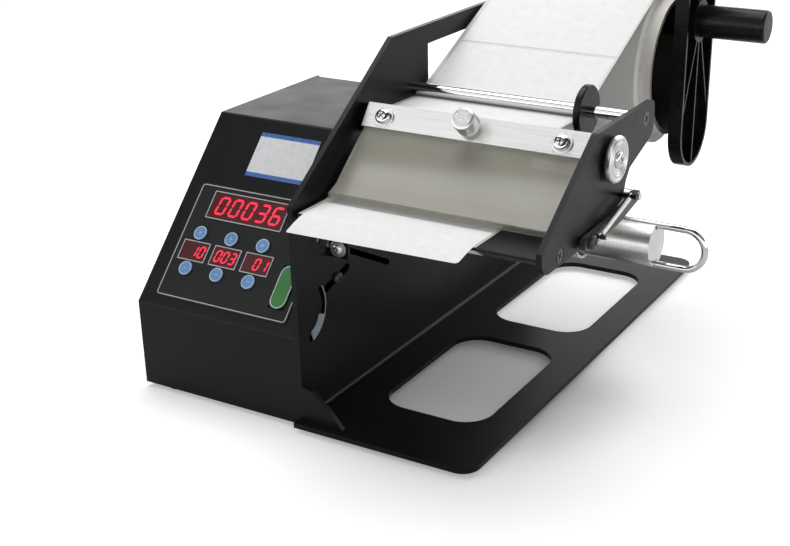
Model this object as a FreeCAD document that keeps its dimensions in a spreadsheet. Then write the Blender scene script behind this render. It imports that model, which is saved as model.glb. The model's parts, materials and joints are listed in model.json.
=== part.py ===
import FreeCAD, Part
import math
import os
import Sketcher

# Label dispenser. Millimetres, +X right, +Y back, +Z up.
# Origin: the middle of the front left foot's standing face.
# Pieces are drawn from the front left corner of the control housing and moved to that datum.

DRIVING = {
    # main frame, one folded sheet
    "foot_height": 3,
    "foot_radius": 7,
    "frame_sheet": 3,
    "fold_radius": 2,
    "base_reach": 105,
    "base_ahead": 5,
    "base_length": 326,
    "base_corner": 10,
    "cutout_inset": 23,
    "cutout_width": 63.5,
    "cutout_ahead": 43,
    "cutout_length": 104,
    "cutout_bridge": 27,
    "cutout_more": 6,
    "cutout_corner": 17,
    "nose_height": 124,
    "slope_run": 100,
    "arm_top": 191,
    "arm_depth": 11,
    "arm_end": 254,
    "plate_back": 138.5,
    "plate_shoulder": 134,
    "shoulder_back": 188,
    "rear_strip": 24,
    "gusset_width": 25,
    "gusset_height": 20,
    # control housing
    "housing_width": 107,
    "housing_depth": 185,
    "housing_front": 50.5,
    "housing_top": 139,
    "panel_angle": 46,
    "cover_sheet": 1.5,
    "cover_round": 2.5,
    # panel overlay, keys and displays, measured along the panel from the front bend
    "overlay_left": 9,
    "overlay_low": 6,
    "overlay_right": 8.5,
    "overlay_length": 71.5,
    "overlay_corner": 2.5,
    "overlay_film": 0.5,
    "lens_rise": 0.3,
    "counter_left": 21,
    "counter_low": 57,
    "counter_share": 2.35,
    "counter_length": 16,
    "preset_left": 14.2,
    "preset_low": 30,
    "preset_gap": 4.3,
    "preset_length": 11,
    "key_aside": 0.4,
    "key_low": 24.5,
    "key_rise": 22,
    "key_radius": 4.1,
    "key_thick": 1.1,
    "key_travel": 0.4,
    "key_gap": 0.3,
    "confirm_right": 23,
    "confirm_space": 4.7,
    "confirm_low": 13.5,
    "confirm_width": 10,
    "confirm_length": 25,
    # board under the panel
    "board_inset": 7.5,
    "board_gap": 10,
    "board_thick": 1.6,
    "board_low": 10,
    "post_radius": 2.5,
    "post_inset": 3.5,
    # roll rod, roll and its stop
    "roll_rod_y": 242,
    "roll_rod_radius": 9.5,
    "rod_reach": 165.4,
    "rod_tail": 5,
    "core_radius": 38.1,
    "core_wall": 2.9,
    "core_length": 109,
    "roll_radius": 47,
    "stop_gap": 6.5,
    "stop_depth": 8,
    "stop_wall": 2,
    "stop_rib": 1.6,
    "stop_length": 176,
    "stop_width": 47,
    "stop_hub": 12.5,
    # liner and label
    "liner_gap": 2,
    "liner_width": 101.5,
    "liner_film": 0.25,
    "web_gap": 0.1,
    "label_margin": 3.4,
    "label_ahead": 16,
    "label_drop": 3,
    # cross members and the small side plate
    "plate_span": 137,
    "side_sheet": 3,
    "guide_y": 121.8,
    "guide_z": 158,
    "guide_radius": 3.5,
    "disc_radius": 14,
    "disc_thick": 4,
    "disc_gap": 0.6,
    "peel_low": 114.5,
    "peel_high": 120.4,
    "peel_tip": 2,
    "peel_nose": 0.8,
    "peel_bevel": 33,
    "peel_back": 36,
    "peel_screw_y": 18.4,
    "bar_foot_y": 60,
    "bar_foot_z": 152.4,
    "bar_lean": 51,
    "bar_height": 13.8,
    "bar_sheet": 1.5,
    "bar_side_gap": 4.2,
    "bar_offset": 0.9,
    "bar_screw_rise": 6,
    "bar_screw_pitch": 102.6,
    "knob_rise": 7.3,
    "knob_radius": 6.2,
    "knob_length": 12,
    "carrier_thick": 3.6,
    "carrier_rise": 2.5,
    "sheet_film": 0.8,
    "sheet_width": 124,
    "sheet_end_y": 24.6,
    "sheet_end_z": 125.6,
    "bead_depth": 2.4,
    "bead_height": 3,
    # feed roller and hand wheel
    "feed_y": 75.2,
    "feed_z": 149.4,
    "feed_radius": 5.5,
    "feed_shaft": 3,
    "wheel_radius": 12,
    "wheel_thick": 3.6,
    "wheel_gap": 1.3,
    "wheel_bolt": 1.5,
    # tension lever
    "lever_y": 45,
    "lever_z": 116.5,
    "lever_reach": 59,
    "lever_rise": 5.5,
    "lever_thick": 3,
    "lever_half": 3.2,
    "hook_y": 89.5,
    "hook_z": 126.5,
    "tension_radius": 5,
    "spring_radius": 1.4,
    "spring_wire": 0.6,
    # rewinder
    "rewind_y": 133.7,
    "rewind_z": 85.3,
    "rewind_radius": 12.2,
    "rewind_reach": 145,
    "rewind_shaft": 4,
    "wound_radius": 15,
    "clip_wire": 1.9,
    "clip_seat": 0.9,
    "clip_reach": 174.4,
    "motor_drop": 30,
    "motor_radius": 18.5,
    "motor_length": 52,
    "gear_module": 1,
    "pinion_teeth": 20,
    "gear_teeth": 40,
    "gear_width": 6,
    # sensor
    "slot_front_y": 22,
    "slot_front_z": 98.8,
    "slot_back_y": 89.4,
    "slot_back_z": 63.3,
    "slot_width": 3.4,
    "short_slot_y": 37.5,
    "short_slot_z": 72.5,
    "short_slot_run": 20,
    "short_slot_fall": 5,
    "short_slot_width": 4.6,
    "arc_y": 6.8,
    "arc_z": 63.6,
    "arc_radius": 17.1,
    "arc_first": -81,
    "arc_last": 36,
    "sensor_y": 39.8,
    "bracket_ahead": 8.8,
    "bracket_back": 7,
    "bracket_sheet": 2,
    "bracket_reach": 12,
    "bracket_rise": 3,
    "bracket_half": 5.2,
    "bracket_bore": 1.7,
    "tab_thick": 0.8,
    "tab_depth": 6.6,
    # fits
    "run_gap": 0.05,
    "soft_gap": 0.3,
    "screw_radius": 2,
    "screw_head": 4,
}

doc = FreeCAD.newDocument("LabelDispenser")
sheet = doc.addObject("Spreadsheet::Sheet", "Sizes")
V = FreeCAD.Vector


class Size:
    """A length that knows its number and the expression that binds it to the sheet."""

    def __init__(self, value, text):
        self.value = value
        self.text = text

    def __add__(self, other):
        other = as_size(other)
        return Size(self.value + other.value, "(%s + %s)" % (self.text, other.text))

    def __radd__(self, other):
        return as_size(other) + self

    def __sub__(self, other):
        other = as_size(other)
        return Size(self.value - other.value, "(%s - %s)" % (self.text, other.text))

    def __rsub__(self, other):
        return as_size(other) - self

    def __mul__(self, other):
        other = as_size(other)
        return Size(self.value * other.value, "(%s * %s)" % (self.text, other.text))

    def __rmul__(self, other):
        return as_size(other) * self

    def __truediv__(self, other):
        other = as_size(other)
        return Size(self.value / other.value, "(%s / %s)" % (self.text, other.text))

    def __neg__(self):
        return Size(-self.value, "(0 - %s)" % self.text)


def as_size(number):
    if isinstance(number, Size):
        return number
    return Size(float(number), "%.6f" % number)


def fill_sheet():
    table = {}
    for row, (name, number) in enumerate(DRIVING.items(), start=1):
        sheet.set("A%d" % row, name)
        sheet.set("B%d" % row, str(number))
        sheet.setAlias("B%d" % row, name)
        table[name] = Size(float(number), "Sizes.%s" % name)
    doc.recompute()
    return table


D = fill_sheet()


def tan_of(angle):
    return Size(math.tan(math.radians(angle.value)), "tan(%s)" % angle.text)


def sin_of(angle):
    return Size(math.sin(math.radians(angle.value)), "sin(%s)" % angle.text)


def cos_of(angle):
    return Size(math.cos(math.radians(angle.value)), "cos(%s)" % angle.text)


# Places worked out from the driving sizes
FOOT_INSET = D["foot_radius"] + 3
DATUM_X = FOOT_INSET + 6
DATUM_Y = FOOT_INSET
FLOOR = D["foot_height"]
FACE = D["housing_width"] + D["frame_sheet"]
INNER = FACE + D["plate_span"]
OUTER = INNER + D["side_sheet"]
BASE_FRONT = -D["base_ahead"]
ROLL_ROD_Z = FLOOR + D["arm_top"] - D["arm_depth"] / 2
ROLL_Z = ROLL_ROD_Z + D["roll_rod_radius"] - D["core_radius"] + D["soft_gap"]
GUIDE_Z = FLOOR + D["guide_z"]
FEED_Z = FLOOR + D["feed_z"]
LINER_LEFT = FACE + D["liner_gap"]
LINER_RIGHT = LINER_LEFT + D["liner_width"]
STOP_FACE = LINER_LEFT + D["core_length"] + D["stop_gap"]
ROD_END = FACE + D["rod_reach"]
REWIND_END = FACE + D["rewind_reach"]
CLIP_OUT = FACE + D["clip_reach"]
LEVER_Z = FLOOR + D["lever_z"]
TENSION_Y = D["lever_y"] + D["lever_reach"]
TENSION_Z = LEVER_Z + D["lever_rise"]
REWIND_Z = FLOOR + D["rewind_z"]
PANEL_Z = FLOOR + D["housing_front"]
PANEL_RUN = (D["housing_top"] - D["housing_front"]) / tan_of(D["panel_angle"])
OVERLAY_WIDTH = D["housing_width"] - D["overlay_left"] - D["overlay_right"]
CONFIRM_LEFT = D["housing_width"] - D["confirm_right"]
PRESET_PITCH = (CONFIRM_LEFT - D["preset_left"] - D["confirm_space"]) / 3
PRESET_WIDTH = PRESET_PITCH - D["preset_gap"]
COUNTER_WIDTH = PRESET_PITCH * D["counter_share"]

X_AXIS = V(1, 0, 0)
Y_AXIS = V(0, 1, 0)
Z_AXIS = V(0, 0, 1)
TURNS = {
    "x": FreeCAD.Rotation(Y_AXIS, 90),
    "y": FreeCAD.Rotation(X_AXIS, -90),
    "z": FreeCAD.Rotation(),
}
TO_FRONT = FreeCAD.Rotation(Z_AXIS, -90)
pieces = []


def bind(item, prop, size):
    item.setExpression(prop, as_size(size).text)


def keep(item, label):
    """Name a finished piece and move it from the drawing's corner to the datum."""
    item.Label = label
    drawn = {path.lstrip("."): text for path, text in item.ExpressionEngine}
    for axis, datum in (("x", DATUM_X), ("y", DATUM_Y)):
        path = "Placement.Base." + axis
        text = drawn.get(path) or "%.6f" % getattr(item.Placement.Base, axis)
        item.setExpression(path, "(%s) - %s" % (text, datum.text))
    pieces.append(item)
    return item


def place(item, x=0, y=0, z=0):
    for axis, size in (("x", x), ("y", y), ("z", z)):
        bind(item, "Placement.Base." + axis, size)
    return item


def body(name):
    return doc.addObject("PartDesign::Body", name)


def sketch_on(owner, role, lift=0):
    """A sketch on one of the body's own planes, lifted along the plane's normal."""
    sketch = owner.newObject("Sketcher::SketchObject", owner.Name + "_sketch")
    plane = [item for item in owner.Origin.OriginFeatures if item.Role == role][0]
    sketch.AttachmentSupport = [(plane, "")]
    sketch.MapMode = "FlatFace"
    bind(sketch, "AttachmentOffset.Base.z", lift)
    return sketch


def pin_point(sketch, geometry, end, x, y):
    """Fix one point of a sketch at a place bound to the sheet."""
    for kind, size in (("DistanceX", x), ("DistanceY", y)):
        size = as_size(size)
        index = sketch.addConstraint(
            Sketcher.Constraint(kind, -1, 1, geometry, end, size.value))
        sketch.setExpression("Constraints[%d]" % index, size.text)


def draw_polygon(sketch, corners):
    corners = [(as_size(x), as_size(y)) for x, y in corners]
    first = sketch.GeometryCount
    count = len(corners)
    for index in range(count):
        start = corners[index]
        end = corners[(index + 1) % count]
        sketch.addGeometry(Part.LineSegment(
            V(start[0].value, start[1].value, 0), V(end[0].value, end[1].value, 0)), False)
    for index in range(count):
        following = first + (index + 1) % count
        sketch.addConstraint(Sketcher.Constraint("Coincident", first + index, 2, following, 1))
    for index, (x, y) in enumerate(corners):
        pin_point(sketch, first + index, 1, x, y)


def draw_circle(sketch, x, y, radius):
    x, y, radius = as_size(x), as_size(y), as_size(radius)
    index = sketch.addGeometry(
        Part.Circle(V(x.value, y.value, 0), Z_AXIS, radius.value), False)
    rule = sketch.addConstraint(Sketcher.Constraint("Radius", index, radius.value))
    sketch.setExpression("Constraints[%d]" % rule, radius.text)
    pin_point(sketch, index, 3, x, y)


def draw_box(sketch, x, y, width, height):
    right = as_size(x) + width
    top = as_size(y) + height
    draw_polygon(sketch, [(x, y), (right, y), (right, top), (x, top)])


def pad(owner, sketch, length, flip=False):
    feature = owner.newObject("PartDesign::Pad", owner.Name + "_pad")
    feature.Profile = sketch
    bind(feature, "Length", length)
    feature.Reversed = flip
    sketch.Visibility = False
    doc.recompute()
    return feature


def pocket_through(owner, sketch):
    feature = owner.newObject("PartDesign::Pocket", owner.Name + "_pocket")
    feature.Profile = sketch
    feature.Type = 1
    feature.Midplane = True
    doc.recompute()
    return feature


def round_edges(owner, base, radius, wanted):
    """Fillet the edges of a feature that the test picks out."""
    names = ["Edge%d" % number for number, edge in enumerate(base.Shape.Edges, start=1)
             if wanted(edge)]
    feature = owner.newObject("PartDesign::Fillet", owner.Name + "_round")
    feature.Base = (base, names)
    bind(feature, "Radius", radius)
    doc.recompute()
    return feature


def along(edge, axis, length=None):
    """True for a straight edge that runs along the axis."""
    if edge.Curve.TypeId != "Part::GeomLine":
        return False
    span = edge.Vertexes[-1].Point - edge.Vertexes[0].Point
    if abs(span.dot(axis)) < span.Length - 1e-6:
        return False
    return length is None or abs(span.Length - as_size(length).value) < 1e-4


def near(edge, x=None, y=None, z=None, reach=0.6):
    """True where the middle of the edge lies at the named coordinates."""
    middle = edge.BoundBox.Center
    wanted = ((x, middle.x), (y, middle.y), (z, middle.z))
    return all(size is None or abs(as_size(size).value - place_now) < reach
               for size, place_now in wanted)


def profile_plate(name, role, corners, thickness, lift=0, flip=False):
    """A flat plate: one closed outline, padded to its thickness."""
    plate = body(name)
    sketch = sketch_on(plate, role, lift)
    draw_polygon(sketch, corners)
    pad(plate, sketch, thickness, flip)
    return plate


def turned(name, stations):
    """A turned piece about the X axis: the closed outline of (x, radius) stations."""
    item = body(name)
    sketch = sketch_on(item, "XY_Plane")
    draw_polygon(sketch, stations)
    spin = item.newObject("PartDesign::Revolution", name + "_turn")
    spin.Profile = sketch
    spin.ReferenceAxis = (sketch, ["H_Axis"])
    spin.Angle = 360
    sketch.Visibility = False
    doc.recompute()
    return item


def tube_stations(left, right, inner, outer):
    return [(left, inner), (left, outer), (right, outer), (right, inner)]


def cylinder(name, radius, length, axis, x=0, y=0, z=0):
    item = doc.addObject("Part::Cylinder", name)
    bind(item, "Radius", radius)
    bind(item, "Height", length)
    item.Placement = FreeCAD.Placement(V(0, 0, 0), TURNS[axis])
    return place(item, x, y, z)


def box(name, length, width, height, x=0, y=0, z=0):
    item = doc.addObject("Part::Box", name)
    bind(item, "Length", length)
    bind(item, "Width", width)
    bind(item, "Height", height)
    return place(item, x, y, z)


def cone(name, small, large, length, axis, x=0, y=0, z=0):
    item = doc.addObject("Part::Cone", name)
    bind(item, "Radius1", small)
    bind(item, "Radius2", large)
    bind(item, "Height", length)
    item.Placement = FreeCAD.Placement(V(0, 0, 0), TURNS[axis])
    return place(item, x, y, z)


def cut(name, base, tools):
    item = doc.addObject("Part::Cut", name)
    item.Base = base
    item.Tool = tools[0] if len(tools) == 1 else joined(name + "_tools", tools)
    doc.recompute()
    return item


def joined(name, items):
    item = doc.addObject("Part::MultiFuse", name)
    item.Shapes = items
    doc.recompute()
    return item


def group(name, items):
    item = doc.addObject("Part::Compound", name)
    item.Links = items
    doc.recompute()
    return item


def on_panel(item, u=0, v=0, w=0):
    """Place a piece on the sloping panel: u to the right, v up the slope, w out of it."""
    slope = D["panel_angle"]
    item.Placement = FreeCAD.Placement(V(0, 0, 0), FreeCAD.Rotation(X_AXIS, slope.value))
    v, w = as_size(v), as_size(w)
    y = v * cos_of(slope) - w * sin_of(slope)
    z = PANEL_Z + v * sin_of(slope) + w * cos_of(slope)
    return place(item, u, y, z)


def on_bar(item, x, up, back, turn=None):
    """Place a piece on the leaning clamp bar: up its slope and back from its front face."""
    lean = D["bar_lean"]
    spin = FreeCAD.Rotation(X_AXIS, lean.value - 90)
    if turn:
        spin = spin.multiply(turn)
    item.Placement = FreeCAD.Placement(V(0, 0, 0), spin)
    up, back = as_size(up), as_size(back)
    y = D["bar_foot_y"] + up * cos_of(lean) + back * sin_of(lean)
    z = FLOOR + D["bar_foot_z"] + up * sin_of(lean) - back * cos_of(lean)
    return place(item, x, y, z)


# Main frame

def side_outline():
    """The tall side plate with its nose, slope, arm and rear strip, as (y, z)."""
    top = FLOOR + D["arm_top"]
    return [
        (0, FLOOR),
        (0, FLOOR + D["nose_height"]),
        (D["slope_run"], top),
        (D["arm_end"], top),
        (D["arm_end"], top - D["arm_depth"]),
        (D["plate_back"], top - D["arm_depth"]),
        (D["plate_back"], FLOOR + D["plate_shoulder"]),
        (D["shoulder_back"], FLOOR + D["plate_shoulder"]),
        (D["base_length"] - D["base_ahead"] - D["base_corner"], FLOOR + D["rear_strip"]),
        (D["base_length"] - D["base_ahead"] - D["base_corner"], FLOOR),
    ]


def slot_tool(name, y1, z1, y2, z2, width):
    """A round-ended slot through the side plate, from one centre to the other."""
    y1, z1, y2, z2 = (as_size(size) for size in (y1, z1, y2, z2))
    depth = D["frame_sheet"] + 2
    start = FACE - D["frame_sheet"] - 1
    run = math.hypot(y2.value - y1.value, z2.value - z1.value)
    tilt = math.degrees(math.atan2(z2.value - z1.value, y2.value - y1.value))
    half = as_size(width) / 2
    blade = doc.addObject("Part::Box", name + "_blade")
    bind(blade, "Length", depth)
    bind(blade, "Height", half * 2)
    blade.Width = run
    lean = FreeCAD.Rotation(X_AXIS, tilt)
    corner = lean.multVec(V(0, 0, -half.value))
    blade.Placement = FreeCAD.Placement(
        V(start.value, y1.value + corner.y, z1.value + corner.z), lean)
    ends = [cylinder(name + "_end_a", half, depth, "x", start, y1, z1),
            cylinder(name + "_end_b", half, depth, "x", start, y2, z2)]
    return joined(name, [blade] + ends)


def ring_sector(name, inner, outer, x, depth, first, last):
    """Part of a flat ring about the arc slot's centre, from one angle to the other."""
    y, z = D["arc_y"], FLOOR + D["arc_z"]
    first, last = as_size(first), as_size(last)
    ring = []
    for part, size in (("outer", outer), ("inner", inner)):
        item = cylinder(name + "_" + part, size, depth, "x", x, y, z)
        bind(item, "Angle", last - first)
        spin = FreeCAD.Rotation(X_AXIS, first.value + 90)
        item.Placement = FreeCAD.Placement(V(0, 0, 0), spin.multiply(TURNS["x"]))
        place(item, x, y, z)
        ring.append(item)
    return cut(name, ring[0], [ring[1]])


def make_main_frame():
    frame = body("frame_blank")
    side = sketch_on(frame, "YZ_Plane", D["housing_width"])
    draw_polygon(side, side_outline())
    tall = pad(frame, side, D["frame_sheet"])
    flat = sketch_on(frame, "XY_Plane", FLOOR)
    draw_box(flat, D["housing_width"], BASE_FRONT, D["frame_sheet"] + D["base_reach"],
             D["base_length"])
    base = pad(frame, flat, D["frame_sheet"])
    holes = sketch_on(frame, "XY_Plane", FLOOR)
    left = FACE + D["cutout_inset"]
    near_edge = BASE_FRONT + D["cutout_ahead"]
    draw_box(holes, left, near_edge, D["cutout_width"], D["cutout_length"])
    near_edge = near_edge + D["cutout_length"] + D["cutout_bridge"]
    draw_box(holes, left, near_edge, D["cutout_width"], D["cutout_length"] + D["cutout_more"])
    opened = pocket_through(frame, holes)
    edge = FACE + D["base_reach"]
    corners = round_edges(
        frame, opened, D["base_corner"],
        lambda e: along(e, Z_AXIS, D["frame_sheet"]) and near(e, x=edge))
    middle = left + D["cutout_width"] / 2
    inner = round_edges(
        frame, corners, D["cutout_corner"],
        lambda e: along(e, Z_AXIS, D["frame_sheet"])
        and near(e, x=middle, reach=D["cutout_width"].value / 2 + 1)
        and not near(e, y=BASE_FRONT) and not near(e, y=BASE_FRONT + D["base_length"]))
    round_edges(
        frame, inner, D["fold_radius"],
        lambda e: along(e, Y_AXIS) and near(e, x=FACE, z=FLOOR + D["frame_sheet"]))
    start = FACE - D["frame_sheet"] - 1
    depth = D["frame_sheet"] + 2
    run, fall = D["short_slot_run"] / 2, D["short_slot_fall"] / 2
    y, z = D["short_slot_y"], FLOOR + D["short_slot_z"]
    half = D["slot_width"] / 2
    tools = [
        slot_tool("long_slot", D["slot_front_y"], FLOOR + D["slot_front_z"],
                  D["slot_back_y"], FLOOR + D["slot_back_z"], D["slot_width"]),
        slot_tool("short_slot", y - run, z - fall, y + run, z + fall, D["short_slot_width"]),
        ring_sector("arc_slot", D["arc_radius"] - half, D["arc_radius"] + half, start, depth,
                    D["arc_first"], D["arc_last"]),
    ]
    for name, radius, y, z in (
            ("rod_hole", D["rod_tail"] + 0.1, D["roll_rod_y"], ROLL_ROD_Z),
            ("guide_hole", D["screw_radius"], D["guide_y"], GUIDE_Z),
            ("peel_hole", D["screw_radius"], D["peel_screw_y"], peel_screw_z()),
            ("feed_hole", D["feed_shaft"] + 2, D["feed_y"], FEED_Z),
            ("rewind_hole", D["rewind_shaft"] + 3, D["rewind_y"], REWIND_Z)):
        tools.append(cylinder(name, radius, depth, "x", start, y, z))
    keep(cut("main_frame", frame, tools), "main_frame")


def make_gusset():
    low = FLOOR + D["frame_sheet"]
    plate = profile_plate("frame_gusset", "XZ_Plane", [
        (FACE + D["fold_radius"], low),
        (FACE + D["gusset_width"], low),
        (FACE + D["gusset_width"] * 0.7, low + D["gusset_height"] * 0.42),
        (FACE + D["gusset_width"] * 0.25, low + D["gusset_height"] * 0.93),
        (FACE, low + D["gusset_height"]),
        (FACE, low + D["fold_radius"]),
    ], D["frame_sheet"], flip=True)
    keep(plate, "frame_gusset")


def make_feet():
    back = D["housing_depth"] - FOOT_INSET
    far = BASE_FRONT + D["base_length"] - FOOT_INSET
    right = FACE + D["base_reach"] - FOOT_INSET
    spots = [(DATUM_X, DATUM_Y), (DATUM_X, back), (right, DATUM_Y), (right, far)]
    feet = []
    for number, (x, y) in enumerate(spots):
        feet.append(cone("foot_%d" % number, D["foot_radius"] - 1, D["foot_radius"],
                         FLOOR, "z", x, y, 0))
    keep(group("rubber_feet", feet), "rubber_feet")


# Control housing

def housing_outline(inset):
    """The folded cover's outline as (y, z), moved in by the wall."""
    wall = as_size(inset)
    front = FLOOR + D["housing_front"] - wall * tan_of((90 - D["panel_angle"]) / 2)
    ridge = PANEL_RUN + wall * tan_of(D["panel_angle"] / 2)
    top = FLOOR + D["housing_top"] - wall
    return [(wall, FLOOR), (wall, front), (ridge, top), (D["housing_depth"] - wall, top),
            (D["housing_depth"] - wall, FLOOR)]


def make_housing():
    wall = D["cover_sheet"]
    outer = profile_plate("cover_outer", "YZ_Plane", housing_outline(0),
                          D["housing_width"] - wall, lift=wall)
    edges = [(0, FLOOR + D["housing_front"]), (PANEL_RUN, FLOOR + D["housing_top"]),
             (D["housing_depth"], FLOOR + D["housing_top"])]
    for y, z in edges:
        round_edges(outer, outer.Tip, D["cover_round"],
                    lambda e: along(e, X_AXIS) and near(e, y=y, z=z))
    inner = profile_plate("cover_inner", "YZ_Plane", housing_outline(wall),
                          D["housing_width"], lift=0)
    rear = D["housing_depth"] - wall - 1
    tools = [
        inner,
        box("switch_hole", 19.4, wall + 2, 13.4, 22, rear, FLOOR + 24),
        cylinder("inlet_hole", 6, wall + 2, "y", 70, rear, FLOOR + 31),
        box("nut_relief", 4, 16, 26, D["housing_width"] - 3, 31, FLOOR + 76),
    ]
    keep(cut("housing_cover", outer, tools), "housing_cover")
    left = profile_plate("housing_left_cover", "YZ_Plane", housing_outline(0), wall)
    keep(left, "housing_left_cover")
    floor = box("housing_base", D["housing_width"] - wall, D["housing_depth"] - wall * 2, wall,
                wall, wall, FLOOR)
    keep(floor, "housing_base")


def make_rear_fittings():
    rear = D["housing_depth"]
    frame = cut("switch_frame_body",
                joined("switch_frame_blank", [
                    box("switch_bezel", 21.5, 1.5, 15.5, 20.95, rear, FLOOR + 22.95),
                    box("switch_box", 19, 14, 13, 22.2, rear - 14, FLOOR + 24.2)]),
                [box("switch_mouth", 15, 9.5, 9.6, 24.2, rear - 8, FLOOR + 25.9)])
    keep(frame, "power_switch_frame")
    rocker = body("power_switch_rocker")
    sketch = sketch_on(rocker, "YZ_Plane")
    draw_polygon(sketch, [(-6.2, -2.6), (1.2, -4.4), (2.6, -4.3), (2.0, 0), (4.2, 4.1),
                          (3.2, 4.4), (-6.2, 2.6)])
    pad(rocker, sketch, 14.4)
    place(rocker, 24.5, rear, FLOOR + 30.7)
    keep(rocker, "power_switch_rocker")
    inlet = turned("power_inlet", [(-11, 0), (-11, 5.4), (-1.6, 5.4), (-1.6, 5.9), (0, 5.9),
                                   (0, 7), (2, 7), (2, 3), (-8, 3), (-8, 1), (-1, 1), (-1, 0)])
    inlet.Placement = FreeCAD.Placement(V(0, 0, 0), FreeCAD.Rotation(Z_AXIS, 90))
    place(inlet, 70, rear, FLOOR + 31)
    keep(inlet, "power_inlet")


def key_places():
    """Centres of the six round keys on the panel."""
    places = []
    left = D["preset_left"] + PRESET_WIDTH / 2 - D["key_aside"]
    for row in (1, 0):
        for column in (0, 1, 2):
            places.append((left + column * PRESET_PITCH, D["key_low"] + row * D["key_rise"]))
    return places


def rounded_bar(name, width, length, height, radius):
    """A flat bar with rounded corners, its low left corner at the origin."""
    item = body(name)
    sketch = sketch_on(item, "XY_Plane")
    draw_box(sketch, 0, 0, width, length)
    blank = pad(item, sketch, height)
    round_edges(item, blank, radius, lambda e: along(e, Z_AXIS))
    return item


def make_panel():
    film = D["overlay_film"]
    overlay = rounded_bar("overlay_blank", OVERLAY_WIDTH, D["overlay_length"], film,
                          D["overlay_corner"])
    holes = sketch_on(overlay, "XY_Plane")
    left, low = D["overlay_left"], D["overlay_low"]
    draw_box(holes, D["counter_left"] - left, D["counter_low"] - low, COUNTER_WIDTH,
             D["counter_length"])
    for column in (0, 1, 2):
        draw_box(holes, D["preset_left"] + column * PRESET_PITCH - left,
                 D["preset_low"] - low, PRESET_WIDTH, D["preset_length"])
    for u, v in key_places():
        draw_circle(holes, u - left, v - low, D["key_radius"] + D["key_gap"])
    draw_box(holes, CONFIRM_LEFT - D["key_gap"] - left,
             D["confirm_low"] - D["key_gap"] - low,
             D["confirm_width"] + D["key_gap"] * 2, D["confirm_length"] + D["key_gap"] * 2)
    pocket_through(overlay, holes)
    keep(on_panel(overlay, left, low), "panel_overlay")
    rise = film + D["lens_rise"]
    lens = on_panel(box("counter_display", COUNTER_WIDTH, D["counter_length"], rise),
                    D["counter_left"], D["counter_low"])
    lenses = [lens]
    for column in (0, 1, 2):
        item = box("preset_%d" % column, PRESET_WIDTH, D["preset_length"], rise)
        lenses.append(on_panel(item, D["preset_left"] + column * PRESET_PITCH,
                               D["preset_low"]))
    keep(group("display_windows", lenses), "display_windows")
    lift = D["key_travel"] + 0.1
    for number, (u, v) in enumerate(key_places(), start=1):
        name = "panel_key_%d" % number
        key = doc.addObject("Part::Cylinder", name)
        bind(key, "Radius", D["key_radius"])
        bind(key, "Height", D["key_thick"])
        keep(on_panel(key, u, v, lift), name)
    confirm = rounded_bar("confirm_key", D["confirm_width"], D["confirm_length"],
                          D["key_thick"], D["confirm_width"] * 0.499)
    keep(on_panel(confirm, CONFIRM_LEFT, D["confirm_low"], lift), "confirm_key")


def make_board():
    gap = D["board_gap"]
    left = D["board_inset"]
    low = D["board_low"]
    wide = D["housing_width"] - left * 2
    long = D["overlay_length"] + 2.5
    depth = -D["cover_sheet"] - gap
    board = box("control_board", wide, long, D["board_thick"])
    keep(on_panel(board, left, low, depth - D["board_thick"]), "control_board")
    inset = D["post_inset"]
    posts = []
    for right in (0, 1):
        for high in (0, 1):
            post = doc.addObject("Part::Cylinder", "post_%d_%d" % (right, high))
            bind(post, "Radius", D["post_radius"])
            bind(post, "Height", gap)
            posts.append(on_panel(post, left + inset + right * (wide - inset * 2),
                                  low + inset + high * (long - inset * 2), depth))
    keep(group("board_posts", posts), "board_posts")


# Drive inside the housing

def gear(name, teeth, width):
    """A spur gear about X: tooth flanks from the rolling radius and the module."""
    count = int(round(teeth.value))
    module = D["gear_module"].value
    pitch = module * count / 2
    root = pitch - 1.25 * module
    tip = pitch + module * 0.9
    points = []
    for tooth in range(count):
        centre = 2 * math.pi * tooth / count
        for radius, half in ((root, 0.6), (pitch, 0.42), (tip, 0.18)):
            points.append((radius, centre - half * math.pi / count))
        for radius, half in ((tip, 0.18), (pitch, 0.42), (root, 0.6)):
            points.append((radius, centre + half * math.pi / count))
    corners = [V(0, r * math.cos(a), r * math.sin(a)) for r, a in points]
    outline = Part.makePolygon(corners + [corners[0]])
    solid = Part.Face(outline).extrude(V(width.value, 0, 0))
    item = doc.addObject("Part::Feature", name)
    item.Shape = solid
    return item


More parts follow.
